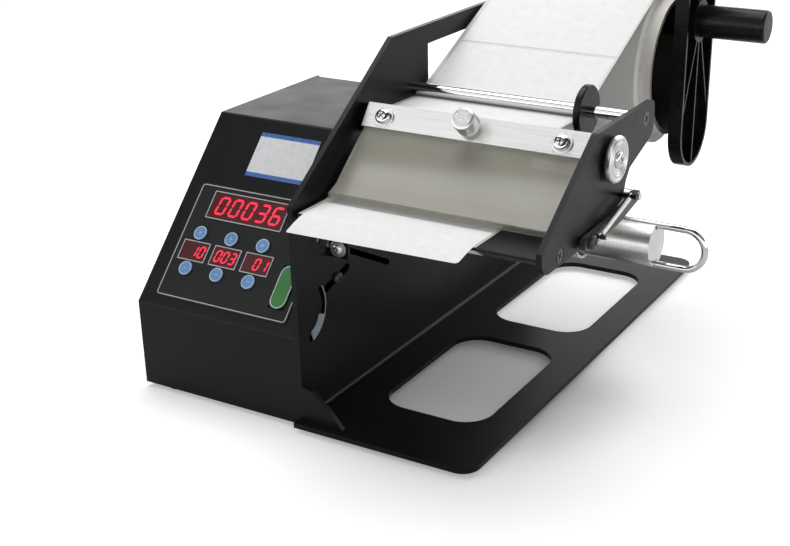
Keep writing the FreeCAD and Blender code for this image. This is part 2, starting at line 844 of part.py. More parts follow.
def make_drive():
    face = D["housing_width"]
    gear_x = face - D["gear_width"] - 6
    wheel = place(gear("gear_blank", D["gear_teeth"], D["gear_width"]), gear_x, D["rewind_y"],
                  REWIND_Z)
    bore = cylinder("gear_bore", D["rewind_shaft"], D["gear_width"] + 2, "x", gear_x - 1,
                    D["rewind_y"], REWIND_Z)
    keep(cut("drive_gear", wheel, [bore]), "drive_gear")
    pinion = gear("pinion_teeth", D["pinion_teeth"], D["gear_width"])
    half_step = 180 / D["pinion_teeth"].value
    pinion.Placement = FreeCAD.Placement(
        V(0, 0, 0), FreeCAD.Rotation(X_AXIS, 90 + half_step))
    motor_z = REWIND_Z - D["motor_drop"]
    place(pinion, gear_x, D["rewind_y"], motor_z)
    bracket_x = gear_x - 6
    output = cylinder("motor_output", 3, gear_x - bracket_x + D["gear_width"] + 9, "x",
                      bracket_x - 9, D["rewind_y"], motor_z)
    keep(joined("motor_pinion", [pinion, output]), "motor_pinion")
    bearing = 3 + D["run_gap"]
    motor = turned("gear_motor", [
        (-D["motor_length"], 0), (-D["motor_length"], D["motor_radius"] - 2),
        (-22, D["motor_radius"] - 2), (-22, D["motor_radius"]), (0, D["motor_radius"]),
        (0, 6), (2.5, 6), (2.5, bearing), (-9.5, bearing), (-9.5, 0)])
    keep(place(motor, bracket_x, D["rewind_y"], motor_z), "gear_motor")
    half = D["motor_radius"] + 8
    low = motor_z - D["motor_radius"] - 2
    tall = D["motor_drop"] + D["motor_radius"] + 18
    plate = box("bracket_plate", 2.5, half * 2, tall, bracket_x, D["rewind_y"] - half, low)
    holes = [cylinder("bracket_bore", 6, 5, "x", bracket_x - 1, D["rewind_y"], motor_z),
             cylinder("bush_bore", D["rewind_shaft"] + 2, 5, "x", bracket_x - 1,
                      D["rewind_y"], REWIND_Z)]
    posts = []
    for number, (dy, dz) in enumerate(((-1, 0), (1, 0), (-1, 1), (1, 1))):
        y = D["rewind_y"] + dy * (half - 4)
        z = low + 4 + dz * (tall - 8)
        posts.append(cylinder("bracket_post_%d" % number, 3.5, face - bracket_x - 2.5, "x",
                              bracket_x + 2.5, y, z))
    keep(joined("motor_bracket", [cut("bracket_cut", plate, holes)] + posts), "motor_bracket")
    shaft_left = bracket_x - 3
    shaft = turned("rewind_shaft", [
        (shaft_left, 0), (shaft_left, D["rewind_shaft"]), (FACE + 18, D["rewind_shaft"]),
        (FACE + 18, 0)])
    keep(place(shaft, 0, D["rewind_y"], REWIND_Z), "rewind_shaft")
    bore = D["rewind_shaft"] + D["run_gap"]
    bushes = [
        turned("plate_bush", [(face - 3, bore), (face - 3, D["rewind_shaft"] + 3),
                              (FACE, D["rewind_shaft"] + 3), (FACE, D["rewind_shaft"] + 5),
                              (FACE + 2, D["rewind_shaft"] + 5), (FACE + 2, bore)]),
        turned("bracket_bush", [(bracket_x - 2, bore), (bracket_x - 2, D["rewind_shaft"] + 4),
                                (bracket_x, D["rewind_shaft"] + 4),
                                (bracket_x, D["rewind_shaft"] + 2),
                                (bracket_x + 2.5, D["rewind_shaft"] + 2),
                                (bracket_x + 2.5, bore)])]
    return [place(bush, 0, D["rewind_y"], REWIND_Z) for bush in bushes]


# Rewinder

def clip_radius():
    return D["rewind_radius"] - D["clip_seat"]


def make_rewinder():
    left = FACE + 4
    length = REWIND_END - left
    blank = cylinder("mandrel_blank", D["rewind_radius"], length, "x", left, D["rewind_y"],
                     REWIND_Z)
    tools = [cylinder("mandrel_bore", D["rewind_shaft"], 14, "x", left, D["rewind_y"],
                      REWIND_Z)]
    groove = (D["clip_wire"] + D["soft_gap"]) * 2
    centre = clip_radius()
    tall = groove / 2 + 4
    for name, low in (("groove_top", REWIND_Z + centre - groove / 2),
                      ("groove_bottom", REWIND_Z - centre + groove / 2 - tall)):
        tools.append(box(name, length + 2, groove, tall, left - 1, D["rewind_y"] - groove / 2,
                         low))
    keep(cut("rewind_mandrel", blank, tools), "rewind_mandrel")
    wound = turned("wound_liner", tube_stations(LINER_LEFT + 2.5, LINER_RIGHT,
                                                D["wound_radius"] - 1.5, D["wound_radius"]))
    keep(place(wound, 0, D["rewind_y"], REWIND_Z), "wound_liner")
    keep(make_clip(), "rewind_clip")


def make_clip():
    """The U of round wire: two straight legs and a half ring."""
    radius = clip_radius().value
    wire = D["clip_wire"].value
    start = FACE.value + 14
    bend = CLIP_OUT.value - wire - radius
    y = D["rewind_y"].value
    z = REWIND_Z.value
    path = Part.Wire([
        Part.LineSegment(V(start, y, z + radius), V(bend, y, z + radius)).toShape(),
        Part.Arc(V(bend, y, z + radius), V(bend + radius, y, z), V(bend, y, z - radius)).toShape(),
        Part.LineSegment(V(bend, y, z - radius), V(start, y, z - radius)).toShape()])
    ring = Part.Wire([Part.makeCircle(wire, V(start, y, z + radius), X_AXIS)])
    item = doc.addObject("Part::Feature", "rewind_clip")
    item.Shape = path.makePipeShell([ring], True, False)
    return item


# Cross members and the small side plate

def peel_nose_y():
    """Centre of the peel plate's rounded nose."""
    return D["peel_tip"] + D["peel_nose"] + D["web_gap"] + D["liner_film"]


def peel_heel_y():
    """Where the bevel under the nose meets the plate's flat underside."""
    corner = peel_nose_y() - D["peel_nose"] / tan_of(D["peel_bevel"] / 2)
    return corner + (D["peel_high"] - D["peel_low"]) / tan_of(D["peel_bevel"])


def peel_screw_z():
    return FLOOR + (D["peel_low"] + D["peel_high"]) / 2 + 0.4


def small_outline():
    """The small side plate as (y, z): sloping front edge, notch for the tension roller."""
    front = as_size(-2)
    low = FLOOR + D["peel_low"] - 1.5
    top = GUIDE_Z + 8.5
    back = D["guide_y"] + 11.2
    shoulder = D["bar_foot_y"] - 3
    return [
        (front, low), (front, low + 12), (shoulder, top), (back, top), (back, top - 18.5),
        (TENSION_Y - 2.5, top - 29), (TENSION_Y - 7, top - 34.5),
        (TENSION_Y - 11, low + 9.5), (shoulder, low),
    ]


def make_side_plate():
    outline = small_outline()
    plate = profile_plate("side_blank", "YZ_Plane", outline, D["side_sheet"], lift=INNER)
    for corner, radius in ((0, 8), (3, 5), (4, 9), (2, 4)):
        y, z = outline[corner]
        round_edges(plate, plate.Tip, radius,
                    lambda e: along(e, X_AXIS) and near(e, y=y, z=z))
    depth = D["side_sheet"] + 2
    tools = [cylinder("side_feed_hole", D["feed_shaft"] + 2, depth, "x", INNER - 1, D["feed_y"],
                      FEED_Z),
             cylinder("side_pivot_hole", D["screw_radius"], depth, "x", INNER - 1, D["lever_y"],
                      LEVER_Z)]
    for name, y, z in (("side_guide_sink", D["guide_y"], GUIDE_Z),
                       ("side_peel_sink", D["peel_screw_y"], peel_screw_z())):
        tools.append(cylinder(name + "_hole", D["screw_radius"], depth, "x", INNER - 1, y, z))
        tools.append(cone(name, D["screw_radius"], D["screw_head"], 2, "x", OUTER - 2, y, z))
    stud = cylinder("plate_stud", 1.2, D["side_sheet"] + 9, "x", INNER, *spring_ends()[1])
    keep(joined("side_plate", [cut("side_cut", plate, tools), stud]), "side_plate")


def sunk_screw(name, y, z):
    """A countersunk screw, its head flush with the small plate's outer face."""
    shank = D["screw_radius"]
    screw = turned(name, [(-9, 0), (-9, shank), (-2, shank), (0, D["screw_head"]), (0, 0)])
    return place(screw, OUTER, y, z)


def cross_rod(name, radius, y, z):
    """A round cross member between the plates, tapped at both ends."""
    blank = cylinder(name + "_blank", radius, D["plate_span"], "x", FACE, y, z)
    taps = [cylinder(name + "_tap_a", D["screw_radius"], 6, "x", FACE, y, z),
            cylinder(name + "_tap_b", D["screw_radius"], 6, "x", INNER - 6, y, z)]
    return cut(name, blank, taps)


def make_cross_members():
    keep(cross_rod("guide_rod", D["guide_radius"], D["guide_y"], GUIDE_Z), "guide_rod")
    low = FLOOR + D["peel_low"]
    high = FLOOR + D["peel_high"]
    corner = peel_nose_y() - D["peel_nose"] / tan_of(D["peel_bevel"] / 2)
    blank = profile_plate("peel_blank", "YZ_Plane", [
        (corner, high), (D["peel_back"], high), (D["peel_back"], low),
        (peel_heel_y(), low)], D["plate_span"], lift=FACE)
    round_edges(blank, blank.Tip, D["peel_nose"],
                lambda e: along(e, X_AXIS) and near(e, y=corner, z=high))
    taps = [cylinder("peel_tap_a", D["screw_radius"], 6, "x", FACE, D["peel_screw_y"],
                     peel_screw_z()),
            cylinder("peel_tap_b", D["screw_radius"], 6, "x", INNER - 6, D["peel_screw_y"],
                     peel_screw_z())]
    keep(cut("peel_plate", blank, taps), "peel_plate")
    screws = [sunk_screw("guide_screw", D["guide_y"], GUIDE_Z),
              sunk_screw("peel_screw", D["peel_screw_y"], peel_screw_z())]
    inner = []
    for name, y, z in (("guide_screw_left", D["guide_y"], GUIDE_Z),
                       ("peel_screw_left", D["peel_screw_y"], peel_screw_z())):
        item = turned(name, [(-2.5, 0), (-2.5, D["screw_head"]), (0, D["screw_head"]),
                             (0, D["screw_radius"]), (9, D["screw_radius"]), (9, 0)])
        inner.append(place(item, D["housing_width"], y, z))
    keep(group("cross_screws", screws + inner), "cross_screws")


def bar_middle():
    return FACE + D["plate_span"] / 2 - D["bar_offset"]


def bar_places():
    """Places of the clamp bar's two screws and of its thumb screw, as (x, up the slope)."""
    half = D["bar_screw_pitch"] / 2
    rise = D["bar_screw_rise"]
    return [(bar_middle() - half, rise), (bar_middle() + half, rise),
            (bar_middle(), D["knob_rise"])]


def bar_holes(name, back, depth):
    holes = []
    for number, (x, up) in enumerate(bar_places()):
        hole = cylinder("%s_hole_%d" % (name, number), D["screw_radius"], depth, "y")
        holes.append(on_bar(hole, x, up, back, TURNS["y"]))
    return holes


def make_clamp_bar():
    length = D["plate_span"] - D["bar_side_gap"] * 2
    blank = on_bar(box("bar_blank", length, D["bar_sheet"], D["bar_height"]),
                   FACE + D["bar_side_gap"], 0, 0)
    keep(cut("clamp_bar", blank, bar_holes("bar", -2, D["bar_sheet"] + 4)), "clamp_bar")
    back = D["bar_sheet"] + D["sheet_film"]
    blank = on_bar(box("carrier_blank", D["plate_span"], D["carrier_thick"],
                       D["bar_height"] - D["carrier_rise"]), FACE, D["carrier_rise"], back)
    keep(cut("clamp_carrier", blank, bar_holes("carrier", back - 1, D["carrier_thick"] + 2)),
         "clamp_carrier")
    screws = []
    grip = back + D["carrier_thick"]
    for number, (x, up) in enumerate(bar_places()[:2]):
        washer = turned("bar_washer_%d" % number, [
            (0, D["screw_radius"]), (0, 5.6), (1, 5.6), (1, D["screw_radius"])])
        screw = turned("bar_screw_%d" % number, [
            (-grip, 0), (-grip, D["screw_radius"]), (1, D["screw_radius"]), (1, 4.3),
            (2.8, 3.9), (3.6, 2.4), (3.8, 0)])
        for item in (washer, screw):
            screws.append(on_bar(item, x, up, 0, TO_FRONT))
    keep(group("clamp_screws", screws), "clamp_screws")
    x, up = bar_places()[2]
    radius, length = D["knob_radius"], D["knob_length"]
    shank = D["screw_radius"] - D["run_gap"]
    knob = turned("thumb_screw", [
        (-grip, 0), (-grip, shank), (0.1, shank), (0.1, 3.8), (2.2, 3.8), (2.2, radius - 0.6),
        (2.8, radius), (length - 0.6, radius), (length, radius - 0.6), (length, 0)])
    keep(on_bar(knob, x, up, 0, TO_FRONT), "thumb_screw")


def make_press_sheet():
    """The clear sheet: a straight tab behind the bar, then an arc down to the liner."""
    film = D["sheet_film"].value
    width = D["sheet_width"].value
    lean = math.radians(D["bar_lean"].value)
    up = V(0, math.cos(lean), math.sin(lean))
    out = V(0, -math.sin(lean), math.cos(lean))
    left = bar_middle().value - width / 2
    foot = V(left, D["bar_foot_y"].value, (FLOOR + D["bar_foot_z"]).value)
    top = foot - out * D["bar_sheet"].value
    end = V(left, D["sheet_end_y"].value, (FLOOR + D["sheet_end_z"]).value)
    chord = end - top
    radius = chord.dot(chord) / (2 * chord.dot(out))
    centre = top + out * radius

    def spot(point, size):
        return centre + (point - centre).normalize() * size

    def arc_edge(size):
        middle = top + chord / 2
        return Part.Arc(spot(top, size), spot(middle, size), spot(end, size)).toShape()

    tall = up * (D["bar_height"].value - 0.5)
    back = top - out * film
    corners = [back, back + tall, top + tall, top]
    edges = [Part.makeLine(one, two) for one, two in zip(corners, corners[1:])]
    edges += [arc_edge(radius), arc_edge(radius + film),
              Part.makeLine(spot(end, radius), spot(end, radius + film))]
    shell = Part.Face(Part.Wire(Part.__sortEdges__(edges))).extrude(V(width, 0, 0))
    depth, height = D["bead_depth"].value, D["bead_height"].value
    lip = Part.makeBox(width, depth, height, V(left, end.y - 0.3, end.z - height + 0.2))
    shape = shell.fuse(lip).removeSplitter()
    for x, rise in bar_places():
        start = foot + V(x.value - left, 0, 0) + up * rise.value + out * 2
        shape = shape.cut(Part.makeCylinder(D["screw_radius"].value, film + 6, start, -out))
    item = doc.addObject("Part::Feature", "press_sheet")
    item.Shape = shape
    keep(item, "press_sheet")


def make_guide_disc():
    left = LINER_RIGHT + D["disc_gap"]
    bore = D["guide_radius"] + D["run_gap"]
    disc = turned("guide_disc", [
        (0, bore), (0, D["disc_radius"] - 0.6), (0.6, D["disc_radius"]),
        (D["disc_thick"] - 0.6, D["disc_radius"]), (D["disc_thick"], D["disc_radius"] - 0.6),
        (D["disc_thick"], bore)])
    keep(place(disc, left, D["guide_y"], GUIDE_Z), "guide_disc")


# Feed roller

def make_feed_roller():
    shaft = D["feed_shaft"]
    left = D["housing_width"] - 3
    wheel_x = OUTER + D["wheel_gap"]
    bolt = D["wheel_bolt"]
    spindle = turned("feed_shaft", [
        (left, 0), (left, shaft), (wheel_x + D["wheel_thick"] - 1, shaft),
        (wheel_x + D["wheel_thick"] - 1, bolt), (wheel_x - 6, bolt), (wheel_x - 6, 0)])
    keep(place(spindle, 0, D["feed_y"], FEED_Z), "feed_shaft")
    sleeve = turned("feed_roller", tube_stations(FACE + 1.5, INNER - 1.5, shaft,
                                                 D["feed_radius"]))
    keep(place(sleeve, 0, D["feed_y"], FEED_Z), "feed_roller")
    bore = shaft + D["run_gap"]
    bushes = [
        turned("feed_bush_left", tube_stations(D["housing_width"], FACE + 1, bore, shaft + 2)),
        turned("feed_bush_right", [(INNER - 1, bore), (INNER - 1, shaft + 2),
                                   (OUTER, shaft + 2), (OUTER, shaft + 3.5),
                                   (OUTER + 1, shaft + 3.5), (OUTER + 1, bore)])]
    return [place(bush, 0, D["feed_y"], FEED_Z) for bush in bushes]


def make_hand_wheel():
    shaft = D["feed_shaft"]
    wheel_x = OUTER + D["wheel_gap"]
    bolt = D["wheel_bolt"]
    radius = D["wheel_radius"]
    wheel = turned("hand_wheel", [
        (0, shaft), (0, radius - 0.7), (0.7, radius), (D["wheel_thick"] - 0.7, radius),
        (D["wheel_thick"], radius - 0.7), (D["wheel_thick"], radius - 2),
        (D["wheel_thick"] - 0.8, radius - 2.6), (D["wheel_thick"] - 0.8, shaft + 2),
        (D["wheel_thick"] - 1, shaft + 2), (D["wheel_thick"] - 1, shaft)])
    keep(place(wheel, wheel_x, D["feed_y"], FEED_Z), "hand_wheel")
    screw = turned("hand_wheel_screw", [
        (-5.9, 0), (-5.9, bolt), (D["wheel_thick"] - 1, bolt), (D["wheel_thick"] - 1, 4.4),
        (D["wheel_thick"] + 0.6, 4.1), (D["wheel_thick"] + 1.2, 2.6),
        (D["wheel_thick"] + 1.3, 0)])
    keep(place(screw, wheel_x, D["feed_y"], FEED_Z), "hand_wheel_screw")


# Tension lever on the outside of the small plate

def make_lever():
    x = OUTER + 1
    y, z = D["lever_y"], LEVER_Z
    half = D["lever_half"]
    arm = profile_plate("lever_blank", "YZ_Plane", [
        (y - 7, z - half + 1), (y - 7, z + half - 1), (y - 4, z + half),
        (y + 34, z + half + 1), (TENSION_Y - 3, TENSION_Z + half),
        (TENSION_Y + 3, TENSION_Z + half - 1), (TENSION_Y + 4, TENSION_Z - half + 1),
        (TENSION_Y - 2, TENSION_Z - half), (y + 36, z - half + 1.5), (y + 4, z - half),
    ], D["lever_thick"], lift=x)
    tools = [cylinder("lever_bore", D["screw_radius"] + D["run_gap"], 6, "x", x - 1, y, z),
             cylinder("lever_roller_bore", D["screw_radius"] + D["run_gap"], 6, "x", x - 1,
                      TENSION_Y, TENSION_Z)]
    stud = cylinder("lever_stud", 1.2, D["lever_thick"] + 5, "x", x, *spring_ends()[0])
    keep(joined("tension_lever", [cut("lever_cut", arm, tools), stud]), "tension_lever")
    pivot = turned("lever_pivot", [
        (-7, 0), (-7, 3.4), (-4, 3.4), (-4, D["screw_radius"]), (0, D["screw_radius"]),
        (D["lever_thick"] + 0.2, D["screw_radius"]), (D["lever_thick"] + 0.2, 3.6),
        (D["lever_thick"] + 2, 3.4), (D["lever_thick"] + 2.6, 2), (D["lever_thick"] + 2.6, 0)])
    keep(place(pivot, x, y, z), "lever_pivot")
    spindle = turned("tension_roller", [
        (FACE + 3, 0), (FACE + 3, D["tension_radius"]), (INNER - 2, D["tension_radius"]),
        (INNER - 2, 3), (x, 3), (x, D["screw_radius"]), (x + D["lever_thick"] + 1.5,
                                                        D["screw_radius"]),
        (x + D["lever_thick"] + 1.5, 0)])
    keep(place(spindle, 0, TENSION_Y, TENSION_Z), "tension_roller")


def spring_ends():
    """Where the spring hangs on the lever and on the small plate, as (y, z)."""
    return (D["lever_y"] + 6, LEVER_Z + 1), (D["hook_y"], FLOOR + D["hook_z"])


def make_spring():
    """The tension spring as a closed tube of its outer size between its two studs."""
    x = OUTER + D["lever_thick"] + 2.8
    (y1, z1), (y2, z2) = [(y.value, z.value) for y, z in spring_ends()]
    reach = math.hypot(y2 - y1, z2 - z1)
    hook = 2.5
    outer = Part.makeCylinder(D["spring_radius"].value, reach - hook * 2)
    inner = Part.makeCylinder(D["spring_radius"].value - D["spring_wire"].value,
                              reach - hook * 2)
    item = doc.addObject("Part::Feature", "tension_spring")
    item.Shape = outer.cut(inner)
    toward = V(0, y2 - y1, z2 - z1)
    item.Placement = FreeCAD.Placement(V(x.value, y1, z1) + toward * (hook / reach),
                                       FreeCAD.Rotation(Z_AXIS, toward))
    keep(item, "tension_spring")


# Roll, roll rod and roll stop

def make_roll():
    rod_radius = D["roll_rod_radius"]
    tail = D["rod_tail"]
    end = ROD_END
    collar = LINER_LEFT - D["soft_gap"]
    rod = turned("roll_rod", [
        (D["housing_width"] - 10, 0), (D["housing_width"] - 10, tail), (FACE, tail),
        (FACE, rod_radius * 2), (collar, rod_radius * 2), (collar, rod_radius),
        (end - 1.2, rod_radius), (end - 0.3, rod_radius - 0.5), (end, rod_radius - 1.3),
        (end, 0)])
    keep(place(rod, 0, D["roll_rod_y"], ROLL_ROD_Z), "roll_rod")
    nut = doc.addObject("Part::Prism", "rod_nut_blank")
    nut.Polygon = 6
    nut.Circumradius = 9.2
    nut.Height = 6
    nut.Placement = FreeCAD.Placement(V(0, 0, 0), TURNS["x"])
    place(nut, D["housing_width"] - 6, D["roll_rod_y"], ROLL_ROD_Z)
    hole = cylinder("rod_nut_hole", tail, 8, "x", D["housing_width"] - 7, D["roll_rod_y"],
                    ROLL_ROD_Z)
    keep(cut("rod_nut", nut, [hole]), "rod_nut")
    core = turned("roll_core", tube_stations(
        LINER_LEFT, LINER_LEFT + D["core_length"], D["core_radius"],
        D["core_radius"] + D["core_wall"]))
    keep(place(core, 0, D["roll_rod_y"], ROLL_Z), "roll_core")
    roll = turned("label_roll", tube_stations(
        LINER_LEFT, LINER_RIGHT, D["core_radius"] + D["core_wall"], D["roll_radius"]))
    keep(place(roll, 0, D["roll_rod_y"], ROLL_Z), "label_roll")


def stop_outline(name, inset, lift, depth):
    """A rounded-end bar in the plane across the rod."""
    half = D["stop_length"] / 2 - inset
    wide = D["stop_width"] / 2 - inset
    item = body(name)
    sketch = sketch_on(item, "YZ_Plane", lift)
    draw_box(sketch, -wide, -half, wide * 2, half * 2)
    blank = pad(item, sketch, depth)
    round_edges(item, blank, wide * 0.999, lambda e: along(e, X_AXIS))
    return item


def stop_rib(name, depth, y1, z1, y2, z2):
    """A rib inside the stop, from one point to another across the rod."""
    half = D["stop_rib"] / 2
    return profile_plate(name, "YZ_Plane", [
        (y1 - half, z1), (y1 + half, z1), (y2 + half, z2), (y2 - half, z2)],
        depth, lift=D["stop_wall"])


def make_stop():
    wall = D["stop_wall"]
    outer = stop_outline("stop_outer", 0, 0, D["stop_depth"])
    inner = stop_outline("stop_inner", wall, wall, D["stop_depth"])
    shell = cut("stop_shell", outer, [inner])
    depth = D["stop_depth"] - wall - 0.6
    reach = D["stop_length"] / 2 - wall / 2
    start = D["stop_hub"] - 1
    rim = D["stop_width"] / 2 - wall / 2
    meet = D["stop_length"] * 0.33
    extra = [cylinder("stop_hub", D["stop_hub"], D["stop_depth"], "x", 0, 0, 0)]
    for name, side in (("high", 1), ("low", -1)):
        extra.append(stop_rib("stop_rib_" + name, depth, as_size(0), side * start,
                              as_size(0), side * reach))
        for wing in (1, -1):
            extra.append(stop_rib("stop_fin_%s_%d" % (name, wing + 1), depth, as_size(wing * 4),
                                  side * start, wing * rim, side * meet))
    solid = joined("stop_solid", [shell] + extra)
    bore = cylinder("stop_bore", D["roll_rod_radius"] + D["run_gap"], 30, "x", -5, 0, 0)
    stop = cut("roll_stop", solid, [bore])
    keep(place(stop, STOP_FACE, D["roll_rod_y"], ROLL_ROD_Z), "roll_stop")


# Liner and label

def tangents(wraps):
    """Straight runs between wraps given as (y, z, radius, side); side +1 is left of travel."""
    runs = []
    for (y1, z1, r1, s1), (y2, z2, r2, s2) in zip(wraps, wraps[1:]):
        span = math.hypot(y2 - y1, z2 - z1)
        lean = math.atan2(z2 - z1, y2 - y1) - math.asin((s2 * r2 - s1 * r1) / span)
        ny, nz = -math.sin(lean), math.cos(lean)
        runs.append(((y1 - s1 * r1 * ny, z1 - s1 * r1 * nz),
                     (y2 - s2 * r2 * ny, z2 - s2 * r2 * nz)))
    return runs


def bend(x, y, z, radius, first, sweep):
    """An arc about (y, z) from the first angle through the signed sweep."""
    spots = [V(x, y + radius * math.cos(first + sweep * share),
               z + radius * math.sin(first + sweep * share)) for share in (0, 0.5, 1)]
    return Part.Arc(*spots).toShape()


def one_side(wraps, x, shift, finish):
    """Edges of one face of a strip, moved by shift to the left of travel."""
    moved = [(y, z, r - s * shift, s) for y, z, r, s in wraps]
    runs = tangents(moved)
    edges = []
    for index, (start, end) in enumerate(runs):
        edges.append(Part.makeLine(V(x, *start), V(x, *end)))
        y, z, radius, side = moved[index + 1]
        first = math.atan2(end[1] - z, end[0] - y)
        if index + 1 < len(runs):
            leave = runs[index + 1][0]
            last = math.atan2(leave[1] - z, leave[0] - y)
            sweep = (last - first) * side % (2 * math.pi)
        else:
            sweep = finish
        if sweep > 0:
            edges.append(bend(x, y, z, radius, first, side * sweep))
    return edges


def strip(name, wraps, thickness, left, right, finish=0):
    """A thin band that runs round the wraps, as wide as from left to right."""
    half = thickness / 2
    one = one_side(wraps, left, half, finish)
    two = one_side(wraps, left, -half, finish)
    caps = [Part.makeLine(one[0].Vertexes[0].Point, two[0].Vertexes[0].Point),
            Part.makeLine(one[-1].Vertexes[-1].Point, two[-1].Vertexes[-1].Point)]
    outline = Part.Wire(Part.__sortEdges__(one + two + caps))
    item = doc.addObject("Part::Feature", name)
    item.Shape = Part.Face(outline).extrude(V(right - left, 0, 0))
    return item


def make_liner():
    film = D["liner_film"].value
    off = D["soft_gap"].value + film / 2
    seat = D["web_gap"].value + film / 2
    top = (FLOOR + D["peel_high"]).value
    low = (FLOOR + D["peel_low"]).value
    nose_y = peel_nose_y().value
    nose = (nose_y, top - D["peel_nose"].value, D["peel_nose"].value + seat, 1)
    landing = 12
    left, right = LINER_LEFT.value, LINER_RIGHT.value
    web = [
        (D["roll_rod_y"].value, ROLL_Z.value, D["roll_radius"].value + off, 1),
        (D["guide_y"].value, GUIDE_Z.value, D["guide_radius"].value + off, -1),
        (D["feed_y"].value, FEED_Z.value, D["feed_radius"].value + off, 1),
        (D["sheet_end_y"].value + 1.5, top + seat + landing, landing, -1),
        nose,
    ]
    keep(strip("liner_web", web, film, left, right, math.radians(20)), "liner_web")
    waste = [
        (nose_y, nose[1], nose[2], 1),
        (peel_heel_y().value, low, seat, 1),
        (D["peel_back"].value, low, seat, 1),
        (TENSION_Y.value, TENSION_Z.value, D["tension_radius"].value + off, -1),
        (D["rewind_y"].value, REWIND_Z.value, D["wound_radius"].value + off, -1),
    ]
    keep(strip("waste_liner", waste, film, left, right, math.radians(50)), "waste_liner")
    margin = D["label_margin"].value
    height = top + seat + film + 0.02
    ahead, drop = D["label_ahead"].value, D["label_drop"].value
    radius = (ahead ** 2 + drop ** 2) / (2 * drop)
    label = [(D["sheet_end_y"].value - 2, height, 0, 1), (nose_y, height - radius, radius, 1)]
    keep(strip("front_label", label, film, left + margin, right - margin,
               math.asin(ahead / radius)), "front_label")


# Sensor behind the side plate

def slot_height(y):
    """Height of the long slot's centre line at a given y."""
    run_y = D["slot_back_y"] - D["slot_front_y"]
    run_z = D["slot_back_z"] - D["slot_front_z"]
    return FLOOR + D["slot_front_z"] + run_z * ((y - D["slot_front_y"]) / run_y)


def make_sensor():
    y = D["sensor_y"]
    z = slot_height(y)
    shank = D["slot_width"] / 2 - 0.2
    back = D["frame_sheet"]
    sheet = D["bracket_sheet"]
    x = FACE + 0.1
    front = y - D["bracket_ahead"]
    middle = z + D["bracket_rise"]
    half = D["bracket_half"]
    flange = box("bracket_flange", sheet, D["bracket_ahead"] + D["bracket_back"], half * 2,
                 x, front, middle - half)
    lug = box("bracket_lug", D["bracket_reach"], sheet, half * 2, x, front, middle - half)
    stud = cylinder("bracket_stud", shank, back + 2.6, "x", FACE - back - 2.4, y, z)
    screw_x = x + D["bracket_reach"] / 2
    bore = cylinder("bracket_bore", D["bracket_bore"], sheet + 2, "y", screw_x, front - 1,
                    middle)
    keep(cut("sensor_bracket", joined("bracket_blank", [flange, lug, stud]), [bore]),
         "sensor_bracket")
    screw = turned("sensor_screw", [
        (-4, 0), (-4, D["bracket_bore"]), (0, D["bracket_bore"]), (0, 4.7), (1, 4.7),
        (1, 3.6), (2.6, 3.3), (3.4, 2.1), (3.6, 0)])
    screw.Placement = FreeCAD.Placement(V(0, 0, 0), TO_FRONT)
    keep(place(screw, screw_x, front, middle), "sensor_screw")
    nut = turned("sensor_nut", tube_stations(-2.4, -0.1, shank, 3.4))
    keep(place(nut, D["housing_width"], y, z), "sensor_nut")
    rim = D["arc_radius"] + D["slot_width"] / 2 - 0.4
    tab = ring_sector("sensor_tab", rim - D["tab_depth"], rim, FACE, D["tab_thick"], -72, -20)
    edge = ring_sector("sensor_rim", rim - 1, rim, FACE - 2, D["tab_thick"] + 2, -72,
                       D["arc_last"] - 1)
    keep(joined("sensor_eye", [tab, edge]), "sensor_eye")
    shank = D["short_slot_width"] / 2 - 0.2
    lock = turned("slot_screw", [
        (-back - 2.5, 0), (-back - 2.5, 3.4), (-back, 3.4), (-back, shank), (0, shank),
        (0, 3.4), (1.8, 3), (2.2, 0)])
    keep(place(lock, FACE, D["short_slot_y"], FLOOR + D["short_slot_z"]), "slot_screw")


def make_all():
    make_main_frame()
    make_gusset()
    make_feet()
    make_housing()
    make_rear_fittings()
    make_panel()
    make_board()
    bushes = make_drive()
    make_rewinder()
    make_side_plate()
    make_cross_members()
    make_clamp_bar()
    make_press_sheet()
    make_guide_disc()
    bushes += make_feed_roller()
    keep(group("shaft_bushes", bushes), "shaft_bushes")
    make_hand_wheel()
    make_lever()
    make_spring()
    make_roll()
    make_stop()
    make_liner()
    make_sensor()


def check_and_write():
    doc.recompute()
    for item in doc.Objects:
        bad = [state for state in item.State if state in ("Invalid", "Error")]
        if bad:
            raise RuntimeError("%s is %s" % (item.Label, bad))
    os.makedirs("parts", exist_ok=True)
    for item in pieces:
        shape = item.Shape
        if shape.isNull() or not shape.isValid() or not shape.Solids:
            raise RuntimeError("%s has no valid solid" % item.Label)
        shape.exportStep("parts/%s.step" % item.Label)
    print("pieces", len(pieces))


make_all()
check_and_write()
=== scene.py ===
import json
import math

import bmesh
import bpy
from mathutils import Matrix, Vector


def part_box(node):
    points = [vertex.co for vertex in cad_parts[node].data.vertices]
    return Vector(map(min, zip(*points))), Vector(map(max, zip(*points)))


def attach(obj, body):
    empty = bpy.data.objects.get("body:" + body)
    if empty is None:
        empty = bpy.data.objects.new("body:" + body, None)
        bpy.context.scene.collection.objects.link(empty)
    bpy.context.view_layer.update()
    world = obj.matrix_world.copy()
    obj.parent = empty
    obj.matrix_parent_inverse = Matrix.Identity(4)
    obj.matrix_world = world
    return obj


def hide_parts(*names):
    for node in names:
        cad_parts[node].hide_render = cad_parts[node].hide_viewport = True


# Label dispenser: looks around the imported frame. Metres, +X right, +Y back, +Z up.
# Sizes of pieces are in millimetres, and times MM where they become places.

